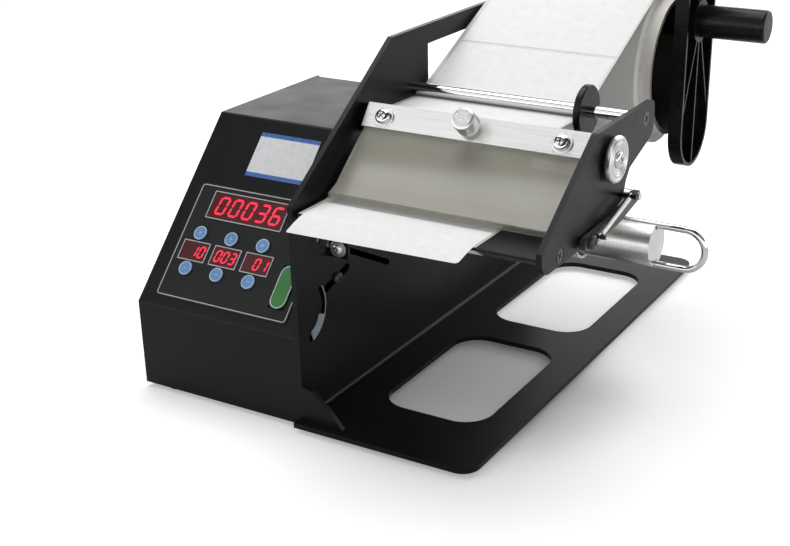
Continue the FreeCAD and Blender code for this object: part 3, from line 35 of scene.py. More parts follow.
MM = 0.001
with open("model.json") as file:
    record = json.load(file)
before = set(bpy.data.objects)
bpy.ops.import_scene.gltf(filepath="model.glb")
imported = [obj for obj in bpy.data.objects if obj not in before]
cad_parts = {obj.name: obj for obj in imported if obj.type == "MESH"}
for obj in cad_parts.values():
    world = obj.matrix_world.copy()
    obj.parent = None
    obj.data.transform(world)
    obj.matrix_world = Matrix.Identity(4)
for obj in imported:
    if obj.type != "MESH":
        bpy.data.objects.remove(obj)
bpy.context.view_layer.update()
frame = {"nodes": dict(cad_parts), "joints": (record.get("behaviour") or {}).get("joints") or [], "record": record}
nodes = frame["nodes"]

X_AXIS = Vector((1, 0, 0))
Y_AXIS = Vector((0, 1, 0))
Z_AXIS = Vector((0, 0, 1))
FRONT = Vector((0, -1, 0))


# Materials

NOISE_RANGE = (0.3, 0.7)    # where nearly all values of a noise texture lie


class Finish:
    """A node material in the making, with short ways to add texture to its shader."""

    def __init__(self, name, colour, roughness, metallic=0.0):
        self.made = bpy.data.materials.new(name)
        self.made.use_nodes = True
        self.tree = self.made.node_tree
        self.shader = self.tree.nodes["Principled BSDF"]
        self.set("Base Color", (*colour, 1))
        self.set("Roughness", roughness)
        self.set("Metallic", metallic)
        self.place = self.add("ShaderNodeTexCoord").outputs["Object"]

    def add(self, kind, **settings):
        node = self.tree.nodes.new(kind)
        for name, value in settings.items():
            setattr(node, name, value)
        return node

    def link(self, source, socket):
        self.tree.links.new(source, socket)

    def set(self, socket, value):
        self.shader.inputs[socket].default_value = value

    def stretched(self, scale):
        """Object coordinates scaled along each axis."""
        node = self.add("ShaderNodeMapping")
        self.link(self.place, node.inputs["Vector"])
        node.inputs["Scale"].default_value = scale
        return node.outputs["Vector"]

    def noise(self, scale, detail=3.0, place=None):
        node = self.add("ShaderNodeTexNoise")
        self.link(place or self.place, node.inputs["Vector"])
        node.inputs["Scale"].default_value = scale
        node.inputs["Detail"].default_value = detail
        return node.outputs["Fac"]

    def along(self, axis):
        """One object coordinate: 0, 1 or 2."""
        node = self.add("ShaderNodeSeparateXYZ")
        self.link(self.place, node.inputs["Vector"])
        return node.outputs[axis]

    def math(self, kind, one, two=0.0):
        node = self.add("ShaderNodeMath", operation=kind)
        for socket, value in zip(node.inputs, (one, two)):
            if isinstance(value, (int, float)):
                socket.default_value = value
            else:
                self.link(value, socket)
        return node.outputs[0]

    def reach(self, centre, axes):
        """How far a point is from the centre, measured along two of the axes."""
        squares = []
        for axis in axes:
            away = self.math("SUBTRACT", self.along(axis), centre[axis])
            squares.append(self.math("MULTIPLY", away, away))
        return self.math("SQRT", self.math("ADD", *squares))

    def mapped(self, source, before, after, kind="SMOOTHSTEP"):
        """A source mapped from one (low, high) range to another."""
        node = self.add("ShaderNodeMapRange", interpolation_type=kind)
        self.link(source, node.inputs["Value"])
        for name, value in zip(("From Min", "From Max", "To Min", "To Max"), before + after):
            node.inputs[name].default_value = value
        return node.outputs["Result"]

    def ramp(self, source, dark, light, places=NOISE_RANGE):
        """Colours from dark to light between two places of a 0 to 1 source."""
        node = self.add("ShaderNodeValToRGB")
        self.link(source, node.inputs["Fac"])
        for element, place, colour in zip(node.color_ramp.elements, places, (dark, light)):
            element.position = place
            element.color = (*colour, 1)
        return node.outputs["Color"]

    def mixed(self, share, one, two):
        """The first colour, or the second where the share is 1."""
        node = self.add("ShaderNodeMix", data_type="RGBA")
        for socket, source in (("Factor", share), ("A", one), ("B", two)):
            self.link(source, node.inputs[socket])
        return node.outputs["Result"]

    def colour(self, source, dark, light, places=NOISE_RANGE):
        self.link(self.ramp(source, dark, light, places), self.shader.inputs["Base Color"])

    def rough(self, source, low, high):
        """Roughness from low to high over the range of a noise."""
        self.link(self.mapped(source, NOISE_RANGE, (low, high), "LINEAR"),
                  self.shader.inputs["Roughness"])

    def bump(self, source, height, strength):
        """Surface relief of the given height in millimetres, on top of what is there."""
        node = self.add("ShaderNodeBump")
        node.inputs["Strength"].default_value = strength
        node.inputs["Distance"].default_value = height * MM
        self.link(source, node.inputs["Height"])
        last = self.shader.inputs["Normal"]
        if last.is_linked:
            self.link(last.links[0].from_socket, node.inputs["Normal"])
        self.link(node.outputs["Normal"], last)


def powder_coat(name, dark, light):
    """Satin black powder coat: fine orange peel and a slight change of tone."""
    coat = Finish(name, dark, 0.4)
    coat.set("Specular IOR Level", 0.18)
    coat.colour(coat.noise(14), dark, light, (0.35, 0.65))
    coat.rough(coat.noise(60), 0.30, 0.37)
    coat.bump(coat.noise(650, 2), 0.04, 0.6)
    coat.bump(coat.noise(2600, 2), 0.02, 0.5)
    return coat.made


def brushed(name, dark, light, grain, low, high, relief=0.01):
    """Bare metal with fine lines; grain is the scale along each axis."""
    metal = Finish(name, light, 0.3, 1.0)
    lines = metal.noise(1, 4, metal.stretched(grain))
    metal.colour(lines, dark, light)
    metal.rough(metal.noise(1, 3, metal.stretched([part * 0.6 for part in grain])), low, high)
    metal.bump(lines, relief, 0.5)
    return metal.made


def polished(name, colour):
    """Plated metal with faint smears and waves."""
    metal = Finish(name, colour, 0.08, 1.0)
    metal.rough(metal.noise(180), 0.05, 0.14)
    metal.bump(metal.noise(40, 1), 0.004, 0.2)
    return metal.made


def moulded(name, dark, light, low=0.3, high=0.45, grain=3000, gloss=0.5):
    """Plastic, rubber or an oxide skin: a cloudy tone and a fine grain."""
    plastic = Finish(name, light, 0.4)
    plastic.set("Specular IOR Level", gloss)
    plastic.colour(plastic.noise(40), dark, light)
    plastic.rough(plastic.noise(120), low, high)
    plastic.bump(plastic.noise(grain, 2), 0.015, 0.5)
    return plastic.made


def paper(name, shade, bright):
    """Matt label stock with a faint pulp cloud."""
    sheet = Finish(name, bright, 0.55)
    sheet.colour(sheet.noise(220, 5), shade, bright)
    sheet.rough(sheet.noise(300), 0.5, 0.62)
    sheet.bump(sheet.noise(2500, 4), 0.01, 0.5)
    return sheet.made


def printed(name, dark, light, grain, roughness, spread=None):
    """Ink on the panel, a little uneven; spread is a range of roughness."""
    ink = Finish(name, light, roughness)
    ink.colour(ink.noise(grain), dark, light)
    if spread:
        ink.rough(ink.noise(200), *spread)
    return ink.made


def glowing(name, dark, glow, strength):
    """Lit segments behind the red filter."""
    lit = Finish(name, dark, 0.25)
    lit.colour(lit.noise(900, 2), dark, glow)
    lit.set("Emission Color", (*glow, 1))
    lit.set("Emission Strength", strength)
    return lit.made


def red_filter():
    """The display window: a glossy dark red filter with a painted sheen that makes it a little brighter to its
    right.
    """
    lens = Finish("display_filter", (0.05, 0.004, 0.006), 0.16)
    lens.set("Specular IOR Level", 0.25)
    # Painted sheen: the colour brightens along X, over an uneven cloud of tone.
    cloud = lens.math("ADD", lens.math("MULTIPLY", lens.along(0), 7.0), lens.noise(150))
    lens.colour(lens.math("MULTIPLY", cloud, 0.45), (0.06, 0.003, 0.006), (0.14, 0.006, 0.014),
                (0.1, 0.9))
    lens.rough(lens.noise(300), 0.12, 0.2)
    return lens.made


def clear_film():
    """The press sheet: hazy, slightly yellow plastic that is clearer in its lower edge."""
    film = Finish("press_film", (0.36, 0.35, 0.29), 0.2)
    film.colour(film.noise(30), (0.36, 0.352, 0.29), (0.40, 0.39, 0.325), (0.2, 0.8))
    film.rough(film.noise(400), 0.18, 0.24)
    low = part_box("press_sheet")[0].z
    haze = film.mapped(film.along(2), (low + 1 * MM, low + 12 * MM), (0.5, 0.84))
    film.link(haze, film.shader.inputs["Alpha"])
    return film.made


def web_liner():
    """Glassine: smooth, slightly yellow grey, with a fine pulp cloud."""
    film = Finish("glassine", (0.70, 0.69, 0.64), 0.35)
    film.colour(film.noise(160, 5), (0.62, 0.61, 0.57), (0.72, 0.71, 0.67))
    film.rough(film.noise(80), 0.28, 0.4)
    film.bump(film.noise(1800, 3), 0.01, 0.4)
    return film.made


def roll_side():
    """The cut side of the roll: fine rings of paper and label round the core."""
    side = Finish("roll_layers", (0.80, 0.79, 0.76), 0.6)
    lo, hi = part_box("label_roll")
    rings = side.add("ShaderNodeCombineXYZ")
    side.link(side.math("MULTIPLY", side.reach((lo + hi) / 2, (1, 2)), 2600), rings.inputs[0])
    lines = side.noise(1, 4, rings.outputs["Vector"])
    side.colour(lines, (0.84, 0.84, 0.825), (0.93, 0.93, 0.92))
    side.bump(lines, 0.03, 0.5)
    return side.made


CORE_WRAP = 0.1
CORE_WALL = 2.8


def cardboard():
    """The core: a pale wrap outside, brown wound board at its end, and painted shade inside, where its bore is
    near black.
    """
    board = Finish("wound_board", (0.30, 0.25, 0.19), 0.7)
    fibre = board.noise(1, 5, board.stretched((900, 160, 160)))
    end = board.ramp(fibre, (0.24, 0.20, 0.155), (0.36, 0.31, 0.25))
    wrap = board.ramp(fibre, (0.70, 0.68, 0.63), (0.80, 0.78, 0.73))
    # Painted shade: the bore of the core gets a near-black colour for the shade inside it.
    inside = board.ramp(fibre, (0.010, 0.009, 0.008), (0.022, 0.020, 0.018))
    lo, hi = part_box("roll_core")
    radius = (hi.y - lo.y) / 2
    reach = board.reach((lo + hi) / 2, (1, 2))
    shown = board.mixed(board.math("GREATER_THAN", reach, radius - CORE_WRAP * MM), end, wrap)
    shown = board.mixed(board.math("LESS_THAN", reach, radius - CORE_WALL * MM), shown, inside)
    board.link(shown, board.shader.inputs["Base Color"])
    board.bump(board.noise(1500, 4), 0.04, 0.6)
    return board.made


FINISHES = {
    "painted_frame": powder_coat("powder_coat", (0.0045, 0.0052, 0.005), (0.007, 0.0078, 0.0075)),
    "steel": brushed("brushed_steel", (0.74, 0.74, 0.73), (0.90, 0.90, 0.89),
                     (25, 1500, 1500), 0.30, 0.44, relief=0.005),
    "bright": polished("chrome", (0.66, 0.66, 0.665)),
    "alu": brushed("turned_aluminium", (0.66, 0.66, 0.65), (0.76, 0.76, 0.75),
                   (2600, 60, 60), 0.28, 0.38, relief=0.004),
    "black_screw": moulded("black_oxide", (0.02, 0.02, 0.022), (0.045, 0.045, 0.05), 0.25, 0.4),
    "overlay": moulded("panel_film", (0.009, 0.0095, 0.010), (0.014, 0.0148, 0.0155),
                       0.38, 0.48, gloss=0.22),
    "display": red_filter(),
    "key_blue": moulded("key_blue_film", (0.10, 0.24, 0.50), (0.17, 0.35, 0.62), 0.4, 0.5),
    "key_green": moulded("key_green_film", (0.02, 0.16, 0.03), (0.045, 0.24, 0.05), 0.4, 0.5),
    "board": moulded("solder_mask", (0.01, 0.12, 0.04), (0.03, 0.2, 0.07), 0.25, 0.35),
    "black_plastic": moulded("black_plastic", (0.004, 0.004, 0.0045), (0.008, 0.008, 0.0085),
                             0.24, 0.34, gloss=0.2),
    "rubber": moulded("rubber", (0.01, 0.01, 0.01), (0.025, 0.025, 0.025), 0.7, 0.85, grain=900),
    "roller_rubber": moulded("ground_rubber", (0.05, 0.05, 0.055), (0.09, 0.09, 0.095),
                             0.6, 0.75, grain=1500),
    "film": clear_film(),
    "liner": web_liner(),
    "label": paper("label_stock", (0.84, 0.84, 0.84), (0.90, 0.90, 0.90)),
    "core": cardboard(),
    "bronze": brushed("sintered_bronze", (0.32, 0.21, 0.10), (0.56, 0.40, 0.20),
                      (1500, 1500, 1500), 0.4, 0.55),
    "gear_plastic": moulded("acetal", (0.70, 0.69, 0.66), (0.80, 0.79, 0.76)),
    "sensor": moulded("sensor_blue", (0.30, 0.36, 0.43), (0.46, 0.53, 0.60), 0.12, 0.2),
}


def finish(piece, slot):
    """Give a piece the finish of a material slot."""
    piece.data.materials.clear()
    piece.data.materials.append(FINISHES[slot])


def dress_nodes():
    """Every carried-over node gets the finish of its slot, and a few get their own; the sensor's nut and the feed
    shaft are coloured dark as painted shade.
    """
    # Painted shade: the sensor's nut and the feed shaft get dark finishes for the shade they stand in by the side
    # plates.
    own = {"label_roll": roll_side(), "sensor_nut": FINISHES["black_screw"],
           "feed_shaft": brushed("shade_darkened_steel", (0.10, 0.10, 0.10), (0.17, 0.17, 0.165),
                                 (1800, 40, 40), 0.45, 0.6)}
    for row in frame["record"]["subparts"]:
        item = nodes[row["node"]]
        made = own.get(row["node"], FINISHES[row["material_slot"]])
        for slot in item.material_slots:
            slot.material = made


# Mesh tools

SHARP_ANGLE = 30


def corners_of(node):
    return [vertex.co for vertex in nodes[node].data.vertices]


def reach_along(corners, axis):
    """The lowest and highest place of the corners along an axis."""
    places = [corner.dot(axis) for corner in corners]
    return min(places), max(places)


def smooth(mesh, sharp=SHARP_ANGLE):
    """Smooth shading but for edges over the sharp angle in degrees."""
    mesh.polygons.foreach_set("use_smooth", [True] * len(mesh.polygons))
    mesh.set_sharp_from_angle(angle=math.radians(sharp))


def new_piece(name, mesh):
    item = bpy.data.objects.new(name, mesh)
    bpy.context.scene.collection.objects.link(item)
    return item


def mesh_from(name, work):
    mesh = bpy.data.meshes.new(name)
    work.to_mesh(mesh)
    work.free()
    return mesh


def from_bmesh(name, work):
    """A smooth piece with its faces turned outwards."""
    bmesh.ops.recalc_face_normals(work, faces=work.faces)
    mesh = mesh_from(name, work)
    smooth(mesh)
    return new_piece(name, mesh)


def shaped_mesh(item):
    """The mesh of an object as its modifiers or its curve's settings shape it."""
    graph = bpy.context.evaluated_depsgraph_get()
    return bpy.data.meshes.new_from_object(item.evaluated_get(graph))


def keep_shape(item):
    """Make the modified shape the piece's own mesh."""
    shaped = shaped_mesh(item)
    item.modifiers.clear()
    item.data = shaped
    smooth(shaped)


def thicken(item, thickness, offset):
    """Give a sheet its thickness in millimetres: offset 1 is outwards and 0 both ways."""
    change = item.modifiers.new("thick", "SOLIDIFY")
    change.thickness = thickness * MM
    change.offset = offset
    keep_shape(item)


def merged(name, items):
    """Several pieces as one, so that one node is replaced by one piece."""
    work = bmesh.new()
    for item in items:
        work.from_mesh(item.data)
        bpy.data.objects.remove(item)
    return from_bmesh(name, work)


def carved(item, tool):
    """Cut a tool out of a piece."""
    change = item.modifiers.new("cut", "BOOLEAN")
    change.operation = "DIFFERENCE"
    change.object = tool
    change.solver = "EXACT"
    keep_shape(item)
    bpy.data.objects.remove(tool)
    return item


def join_rings(work, one, two):
    for step, corner in enumerate(one):
        after = (step + 1) % len(one)
        work.faces.new((corner, one[after], two[after], two[step]))


def close_loop(work, rings):
    """Join each ring to the next one, and the last to the first."""
    for one, two in zip(rings, rings[1:] + rings[:1]):
        join_rings(work, one, two)


def close_prism(work, rings):
    """Join two rings and close each of them with a face."""
    join_rings(work, *rings)
    for ring in rings:
        work.faces.new(ring)


def facing(centre, axis):
    """A transform that takes local +X to the axis and the origin to the centre."""
    turn = X_AXIS.rotation_difference(Vector(axis)).to_matrix().to_4x4()
    return Matrix.Translation(centre) @ turn


def turned_rings(work, stations, place, steps, ridge):
    """One ring of corners for each (along, radius) station in millimetres.

    ridge(number, turn) gives what is added to the radius of a station at a turn of 0 to 1.
    """
    rings = []
    for number, (along, radius) in enumerate(stations):
        ring = []
        for step in range(steps):
            share = step / steps
            size = radius + (ridge(number, share) if ridge else 0)
            angle = 2 * math.pi * share
            spot = Vector((along, size * math.cos(angle), size * math.sin(angle))) * MM
            ring.append(work.verts.new(place @ spot))
        rings.append(ring)
    return rings


def lathe(name, stations, centre, axis, steps=64, ridge=None):
    """Turn (along, radius) stations in millimetres about an axis; the ends close on it."""
    work = bmesh.new()
    place = facing(centre, axis)
    rings = turned_rings(work, stations, place, steps, ridge)
    for one, two in zip(rings, rings[1:]):
        join_rings(work, one, two)
    for ring, along in ((rings[0], stations[0][0]), (rings[-1], stations[-1][0])):
        tip = work.verts.new(place @ (Vector((along, 0, 0)) * MM))
        for step in range(steps):
            work.faces.new((ring[step], ring[(step + 1) % steps], tip))
    return from_bmesh(name, work)


def tube_ring(name, stations, centre, axis, steps=64, ridge=None):
    """A closed ring about an axis: the outline of (along, radius) stations, joined up."""
    work = bmesh.new()
    close_loop(work, turned_rings(work, stations, facing(centre, axis), steps, ridge))
    return from_bmesh(name, work)


def washer(centre, axis, bore, radius, thick, bevel, edge=0.15):
    """A flat washer whose outer edges are cut off, by bevel along and by edge inwards."""
    return tube_ring("washer", [(0, bore), (0, radius - edge), (bevel, radius),
                                (thick - bevel, radius), (thick, radius - edge), (thick, bore)],
                     centre, axis)


def cross_recess(centre, axis, top, reach, width, depth, turn):
    """A tapered cross, as a Phillips recess is, from above the head down into it."""
    work = bmesh.new()
    place = facing(centre, axis) @ Matrix.Rotation(math.radians(turn), 4, "X")
    rings = []
    for along, size, arm in ((top + 1, reach * 1.1, width),
                             (top - depth, reach * 0.35, width * 0.55)):
        half = arm / 2
        corners = [(size, half), (half, half), (half, size), (-half, size), (-half, half),
                   (-size, half), (-size, -half), (-half, -half), (-half, -size),
                   (half, -size), (half, -half), (size, -half)]
        rings.append([work.verts.new(place @ (Vector((along, y, z)) * MM)) for y, z in corners])
    close_prism(work, rings)
    return from_bmesh("recess", work)


def pan_screw(name, centre, axis, radius, height, shank, length, turn, seat=0.0):
    """A domed cross-recess screw: shank behind the seat, head in front of it."""
    dome = [(seat + height * (0.35 + 0.65 * math.sin(angle)), radius * math.cos(angle) ** 0.6)
            for angle in [math.radians(step) for step in (10, 25, 40, 55, 70, 82)]]
    stations = [(-length, shank * 0.8), (-length + 0.4, shank), (seat, shank),
                (seat, radius * 0.97), (seat + height * 0.1, radius)] + dome
    head = lathe(name, stations, centre, axis, 48)
    recess = cross_recess(centre, axis, seat + height, reach=radius * 0.62, width=radius * 0.26,
                          depth=height * 0.75, turn=turn)
    return carved(head, recess)


# Camera, lights and stage

PHOTO_WIDTH = 790
PHOTO_HEIGHT = 546
FOCAL_PIXELS = 1333.6
CENTRE_PIXEL = (435.1, 293.9)
CAMERA_PLACE = Vector((0.4729, -0.5237, 0.3498))
CAMERA_YAW = math.radians(29.967)
CAMERA_PITCH = math.radians(23.112)
CAMERA_ROLL = math.radians(0.6424)
SENSOR_WIDTH = 36.0
NEAR_CLIP = 0.01

FLOOR_REACH = 6.0
# The floor glows so that it stays white, less so in a round painted shade under the object,
# which lies this far from the peeled label's rear right corner.
SHADE_OFFSET = Vector((-0.045, 0.068, 0))
SHADE_REACH = (0.05, 0.11)
SHADE_GLOW = (0.07, 0.38)
# What shiny surfaces see of the world: bright up to a low band and nearly dark above it.
SKY_BAND = (0.30, 0.43)
SKY_GLOW = (2.0, 0.06)

LIT_PLACE = Vector((0.1, 0.12, 0.1))
LIGHTS = {    # place, size and power
    "key": ((-0.2, 0.4, 1.5), 1.3, 17.5),
    "front": ((-0.75, -1.0, 1.25), 1.1, 4.5),
    "side": ((1.3, -0.5, 0.9), 0.9, 1.5),
    "back": ((0.5, 1.4, 1.1), 1.2, 7),
}


def make_camera():
    """The photograph's camera, as fitted from the frame's vanishing points."""
    flat = Vector((-math.sin(CAMERA_YAW), math.cos(CAMERA_YAW), 0))
    forward = flat * math.cos(CAMERA_PITCH) - Z_AXIS * math.sin(CAMERA_PITCH)
    down = -flat * math.sin(CAMERA_PITCH) - Z_AXIS * math.cos(CAMERA_PITCH)
    right = Vector((math.cos(CAMERA_YAW), math.sin(CAMERA_YAW), 0))
    across = right * math.cos(CAMERA_ROLL) + down * math.sin(CAMERA_ROLL)
    up = right * math.sin(CAMERA_ROLL) - down * math.cos(CAMERA_ROLL)
    lens = bpy.data.cameras.new("camera")
    lens.sensor_width = SENSOR_WIDTH
    lens.lens = FOCAL_PIXELS * SENSOR_WIDTH / PHOTO_WIDTH
    lens.shift_x = (PHOTO_WIDTH / 2 - CENTRE_PIXEL[0]) / PHOTO_WIDTH
    lens.shift_y = (CENTRE_PIXEL[1] - PHOTO_HEIGHT / 2) / PHOTO_WIDTH
    lens.clip_start = NEAR_CLIP
    camera = new_piece("camera", lens)
    turn = Matrix((across, up, -forward)).transposed().to_4x4()
    camera.matrix_world = Matrix.Translation(CAMERA_PLACE) @ turn
    bpy.context.scene.camera = camera


def light_rays(owner, camera, glossy, transmission, other):
    """A strength that differs for rays from the camera, off gloss, through film and the rest."""
    path = owner.add("ShaderNodeLightPath")
    total = other
    for socket, value in (("Is Camera Ray", camera), ("Is Glossy Ray", glossy),
                          ("Is Transmission Ray", transmission)):
        seen = path.outputs[socket]
        kept = owner.math("MULTIPLY", owner.math("SUBTRACT", 1.0, seen), total)
        total = owner.math("ADD", kept, owner.math("MULTIPLY", seen, value))
    return total


def make_floor():
    """A white floor that keeps the object's shadow, with a round painted shade under the object."""
    work = bmesh.new()
    bmesh.ops.create_grid(work, x_segments=1, y_segments=1, size=FLOOR_REACH)
    floor = new_piece("floor", mesh_from("floor", work))
    ground = Finish("floor_white", (0.86, 0.86, 0.86), 0.6)
    ground.set("Specular IOR Level", 0.2)
    ground.set("Emission Color", (1, 1, 1, 1))
    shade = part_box("front_label")[1] + SHADE_OFFSET
    glow = ground.mapped(ground.reach(shade, (0, 1)), SHADE_REACH, SHADE_GLOW)
    ground.link(light_rays(ground, glow, glossy=0.0, transmission=0.15, other=0.0),
                ground.shader.inputs["Emission Strength"])
    floor.data.materials.append(ground.made)


class Sky(Finish):
    """The world's nodes, with the same short ways to add to them."""

    def __init__(self, world):
        world.use_nodes = True
        self.tree = world.node_tree
        self.shader = self.tree.nodes["Background"]
        self.place = self.add("ShaderNodeTexCoord").outputs["Generated"]


def make_sky():
    """A white world behind the object, with a bright band that shiny surfaces reflect."""
    world = bpy.data.worlds.new("studio")
    bpy.context.scene.world = world
    sky = Sky(world)
    sky.set("Color", (1, 1, 1, 1))
    band = sky.mapped(sky.along(2), SKY_BAND, SKY_GLOW)
    sky.link(light_rays(sky, 1.0, glossy=band, transmission=0.6, other=0.22),
             sky.shader.inputs["Strength"])


def make_lights():
    """Soft square lights, aimed at the middle of the object."""
    for name, (place, size, power) in LIGHTS.items():
        light = bpy.data.lights.new(name, "AREA")
        light.shape = "SQUARE"
        light.size = size
        light.energy = power
        item = new_piece(name, light)
        item.location = place
        item.rotation_euler = (LIT_PLACE - Vector(place)).to_track_quat("-Z", "Y").to_euler()


# Panel pieces: millimetres to the right, up the slope and out of the overlay's face

OVERLAY_FILM = 0.5
OVERLAY_WIDTH = 89.5
OVERLAY_LENGTH = 71.5
COUNTER = (12.0, 51.0, 51.0, 16.0)    # left, low, width and length
PRESETS = [(5.2 + column * 21.7, 24.0, 17.4, 11.0) for column in range(3)]
LENS_RISE = 0.3
PRINT_EDGE = 0.9
PRINT_STROKE = 0.55
PRINT_FILM = 0.05
BOX_FILM = 0.06
SQUARE_CORNER = 0.05
CORNER_STEPS = 6
PRINT_GREY = (0.55, 0.56, 0.57)

KEY_RING = 4.1
MARK_ARM = 1.15
MARK_HALF = 0.17
CONFIRM_RING = (10, 25, 4.98)    # width, length and corner

# Letters of the seven bars, clockwise from the top, with g in the middle
SEGMENTS = {"0": "abcdef", "1": "bc", "3": "abcdg", "6": "acdefg"}
DIGIT_SLANT = math.tan(math.radians(9))
SEGMENT_GAP = 0.12

PANEL_UP = -Vector(next(joint["axis"] for joint in frame["joints"]
                        if joint["name"] == "confirm_key_press")).cross(X_AXIS).normalized()
PANEL_UP = PANEL_UP if PANEL_UP.z > 0 else -PANEL_UP
PANEL_OUT = X_AXIS.cross(PANEL_UP).normalized()
PANEL_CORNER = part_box("panel_overlay")[0] + Z_AXIS * (PANEL_OUT.z * OVERLAY_FILM * MM)


def on_panel(u, v, w):
    """A point of the panel."""
    return PANEL_CORNER + (X_AXIS * u + PANEL_UP * v + PANEL_OUT * w) * MM


def panel_place(spot):
    """Panel coordinates of a point."""
    away = (spot - PANEL_CORNER) / MM
    return away.dot(X_AXIS), away.dot(PANEL_UP), away.dot(PANEL_OUT)


def rectangle(left, low, right, high):
    return [(left, low), (right, low), (right, high), (left, high)]


def circle(u, v, radius, steps=48):
    return [(u + radius * math.cos(2 * math.pi * step / steps),
             v + radius * math.sin(2 * math.pi * step / steps)) for step in range(steps)]


def rounded_box(left, low, width, length, radius):
    """Corner-rounded rectangle as a list of (u, v)."""
    spots = []
    for centre_u, centre_v, first in ((left + width - radius, low + radius, -90),
                                      (left + width - radius, low + length - radius, 0),
                                      (left + radius, low + length - radius, 90),
                                      (left + radius, low + radius, 180)):
        for step in range(CORNER_STEPS + 1):
            angle = math.radians(first + 90 * step / CORNER_STEPS)
            spots.append((centre_u + radius * math.cos(angle),
                          centre_v + radius * math.sin(angle)))
    return spots


def panel_slab(work, spots, low, high):
    """A thin closed slab on the panel with the given outline."""
    close_prism(work, [[work.verts.new(on_panel(u, v, w)) for u, v in spots]
                       for w in (low, high)])


def panel_ring(work, outer, inner, low, high):
    """A thin closed band on the panel between two outlines with as many points."""
    close_loop(work, [[work.verts.new(on_panel(u, v, w)) for u, v in spots]
                      for spots, w in ((outer, low), (outer, high), (inner, high), (inner, low))])


def outline_box(work, left, low, width, length, radius, lift):
    """A printed line with round corners, inside the given box."""
    outer = rounded_box(left, low, width, length, radius)
    inner = rounded_box(left + PRINT_STROKE, low + PRINT_STROKE, width - 2 * PRINT_STROKE,
                        length - 2 * PRINT_STROKE, max(radius - PRINT_STROKE, SQUARE_CORNER))
    panel_ring(work, outer, inner, lift, lift + BOX_FILM)


def segment_outlines(width, height, bar):
    """The seven bars of a digit as pointed outlines, by letter."""
    half = bar / 2
    gap = bar * SEGMENT_GAP
    places = {
        "a": ((0, height), (width, height)), "g": ((0, height / 2), (width, height / 2)),
        "d": ((0, 0), (width, 0)), "f": ((0, height / 2), (0, height)),
        "b": ((width, height / 2), (width, height)), "e": ((0, 0), (0, height / 2)),
        "c": ((width, 0), (width, height / 2)),
    }
    shapes = {}
    for letter, ((x1, y1), (x2, y2)) in places.items():
        if y1 == y2:
            shapes[letter] = [(x1 + gap, y1), (x1 + gap + half, y1 - half),
                              (x2 - gap - half, y1 - half), (x2 - gap, y1),
                              (x2 - gap - half, y1 + half), (x1 + gap + half, y1 + half)]
        else:
            shapes[letter] = [(x1, y1 + gap), (x1 + half, y1 + gap + half),
                              (x1 + half, y2 - gap - half), (x1, y2 - gap),
                              (x1 - half, y2 - gap - half), (x1 - half, y1 + gap + half)]
    return shapes


def add_digits(work, text, left, low, width, height, pitch, bar):
    """Slanted seven-segment digits on a display window."""
    shapes = segment_outlines(width, height, bar)
    for number, sign in enumerate(text):
        start = left + number * pitch
        for letter in SEGMENTS[sign]:
            panel_slab(work, [(start + x + y * DIGIT_SLANT, low + y) for x, y in shapes[letter]],
                       LENS_RISE, LENS_RISE + PRINT_FILM)


def make_panel_print():
    """Light outlines printed on the overlay, round its edge and its windows."""
    work = bmesh.new()
    outline_box(work, PRINT_EDGE, PRINT_EDGE, OVERLAY_WIDTH - 2 * PRINT_EDGE,
                OVERLAY_LENGTH - 2 * PRINT_EDGE, 2.0, 0)
    for left, low, width, length in [COUNTER] + PRESETS:
        outer = rounded_box(left - PRINT_STROKE, low - PRINT_STROKE, width + 2 * PRINT_STROKE,
                            length + 2 * PRINT_STROKE, 0.3)
        inner = rounded_box(left, low, width, length, SQUARE_CORNER)
        panel_ring(work, outer, inner, 0, LENS_RISE + 0.03)
    item = from_bmesh("panel_print", work)
    item.data.materials.append(printed("print_grey", (0.42, 0.43, 0.44), PRINT_GREY, 700, 0.5))
    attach(item, "frame")


def make_digits():
    work = bmesh.new()
    add_digits(work, "00036", COUNTER[0] + 4.6, COUNTER[1] + 2.9, width=5.4, height=10.2,
               pitch=9.3, bar=1.35)
    for (left, low, _, _), text, start in zip(PRESETS, ("10", "003", "01"), (7.0, 2.0, 7.0)):
        add_digits(work, text, left + start, low + 2.2, width=3.1, height=6.4, pitch=5.0,
                   bar=0.95)
    item = from_bmesh("display_digits", work)
    item.data.materials.append(glowing("lit_red", (0.5, 0.004, 0.02), (0.9, 0.015, 0.05), 1.1))
    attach(item, "frame")


def key_face(node):
    """The middle of a key in panel coordinates, and how high its top stands."""
    lo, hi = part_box(node)
    u, v, _ = panel_place((lo + hi) / 2)
    return u, v, max(panel_place(corner)[2] for corner in corners_of(node))


def make_key_marks():
    """Each round key's pale ring with a plus or a minus, and the confirm key's outline."""
    pale = printed("key_print", (0.42, 0.55, 0.70), (0.60, 0.70, 0.82), 600, 0.45)
    for number in range(1, 7):
        node = "panel_key_%d" % number
        u, v, rise = key_face(node)
        work = bmesh.new()
        panel_ring(work, circle(u, v, KEY_RING), circle(u, v, KEY_RING - PRINT_STROKE),
                   rise, rise + PRINT_FILM)
        bars = [(u - MARK_ARM, v - MARK_HALF, u + MARK_ARM, v + MARK_HALF)]
        if number <= 3:
            bars += [(u - MARK_HALF, v - MARK_ARM, u + MARK_HALF, v - MARK_HALF),
                     (u - MARK_HALF, v + MARK_HALF, u + MARK_HALF, v + MARK_ARM)]
        for bar in bars:
            panel_slab(work, rectangle(*bar), rise, rise + PRINT_FILM)
        item = from_bmesh("key_mark_%d" % number, work)
        item.data.materials.append(pale)
        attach(item, node + "_button")
    u, v, rise = key_face("confirm_key")
    width, length, corner = CONFIRM_RING
    work = bmesh.new()
    outline_box(work, u - width / 2, v - length / 2, width, length, corner, rise)
    item = from_bmesh("confirm_mark", work)
    item.data.materials.append(printed("key_outline", (0.50, 0.55, 0.50), (0.66, 0.70, 0.66),
                                       600, 0.45))
    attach(item, "confirm_button")


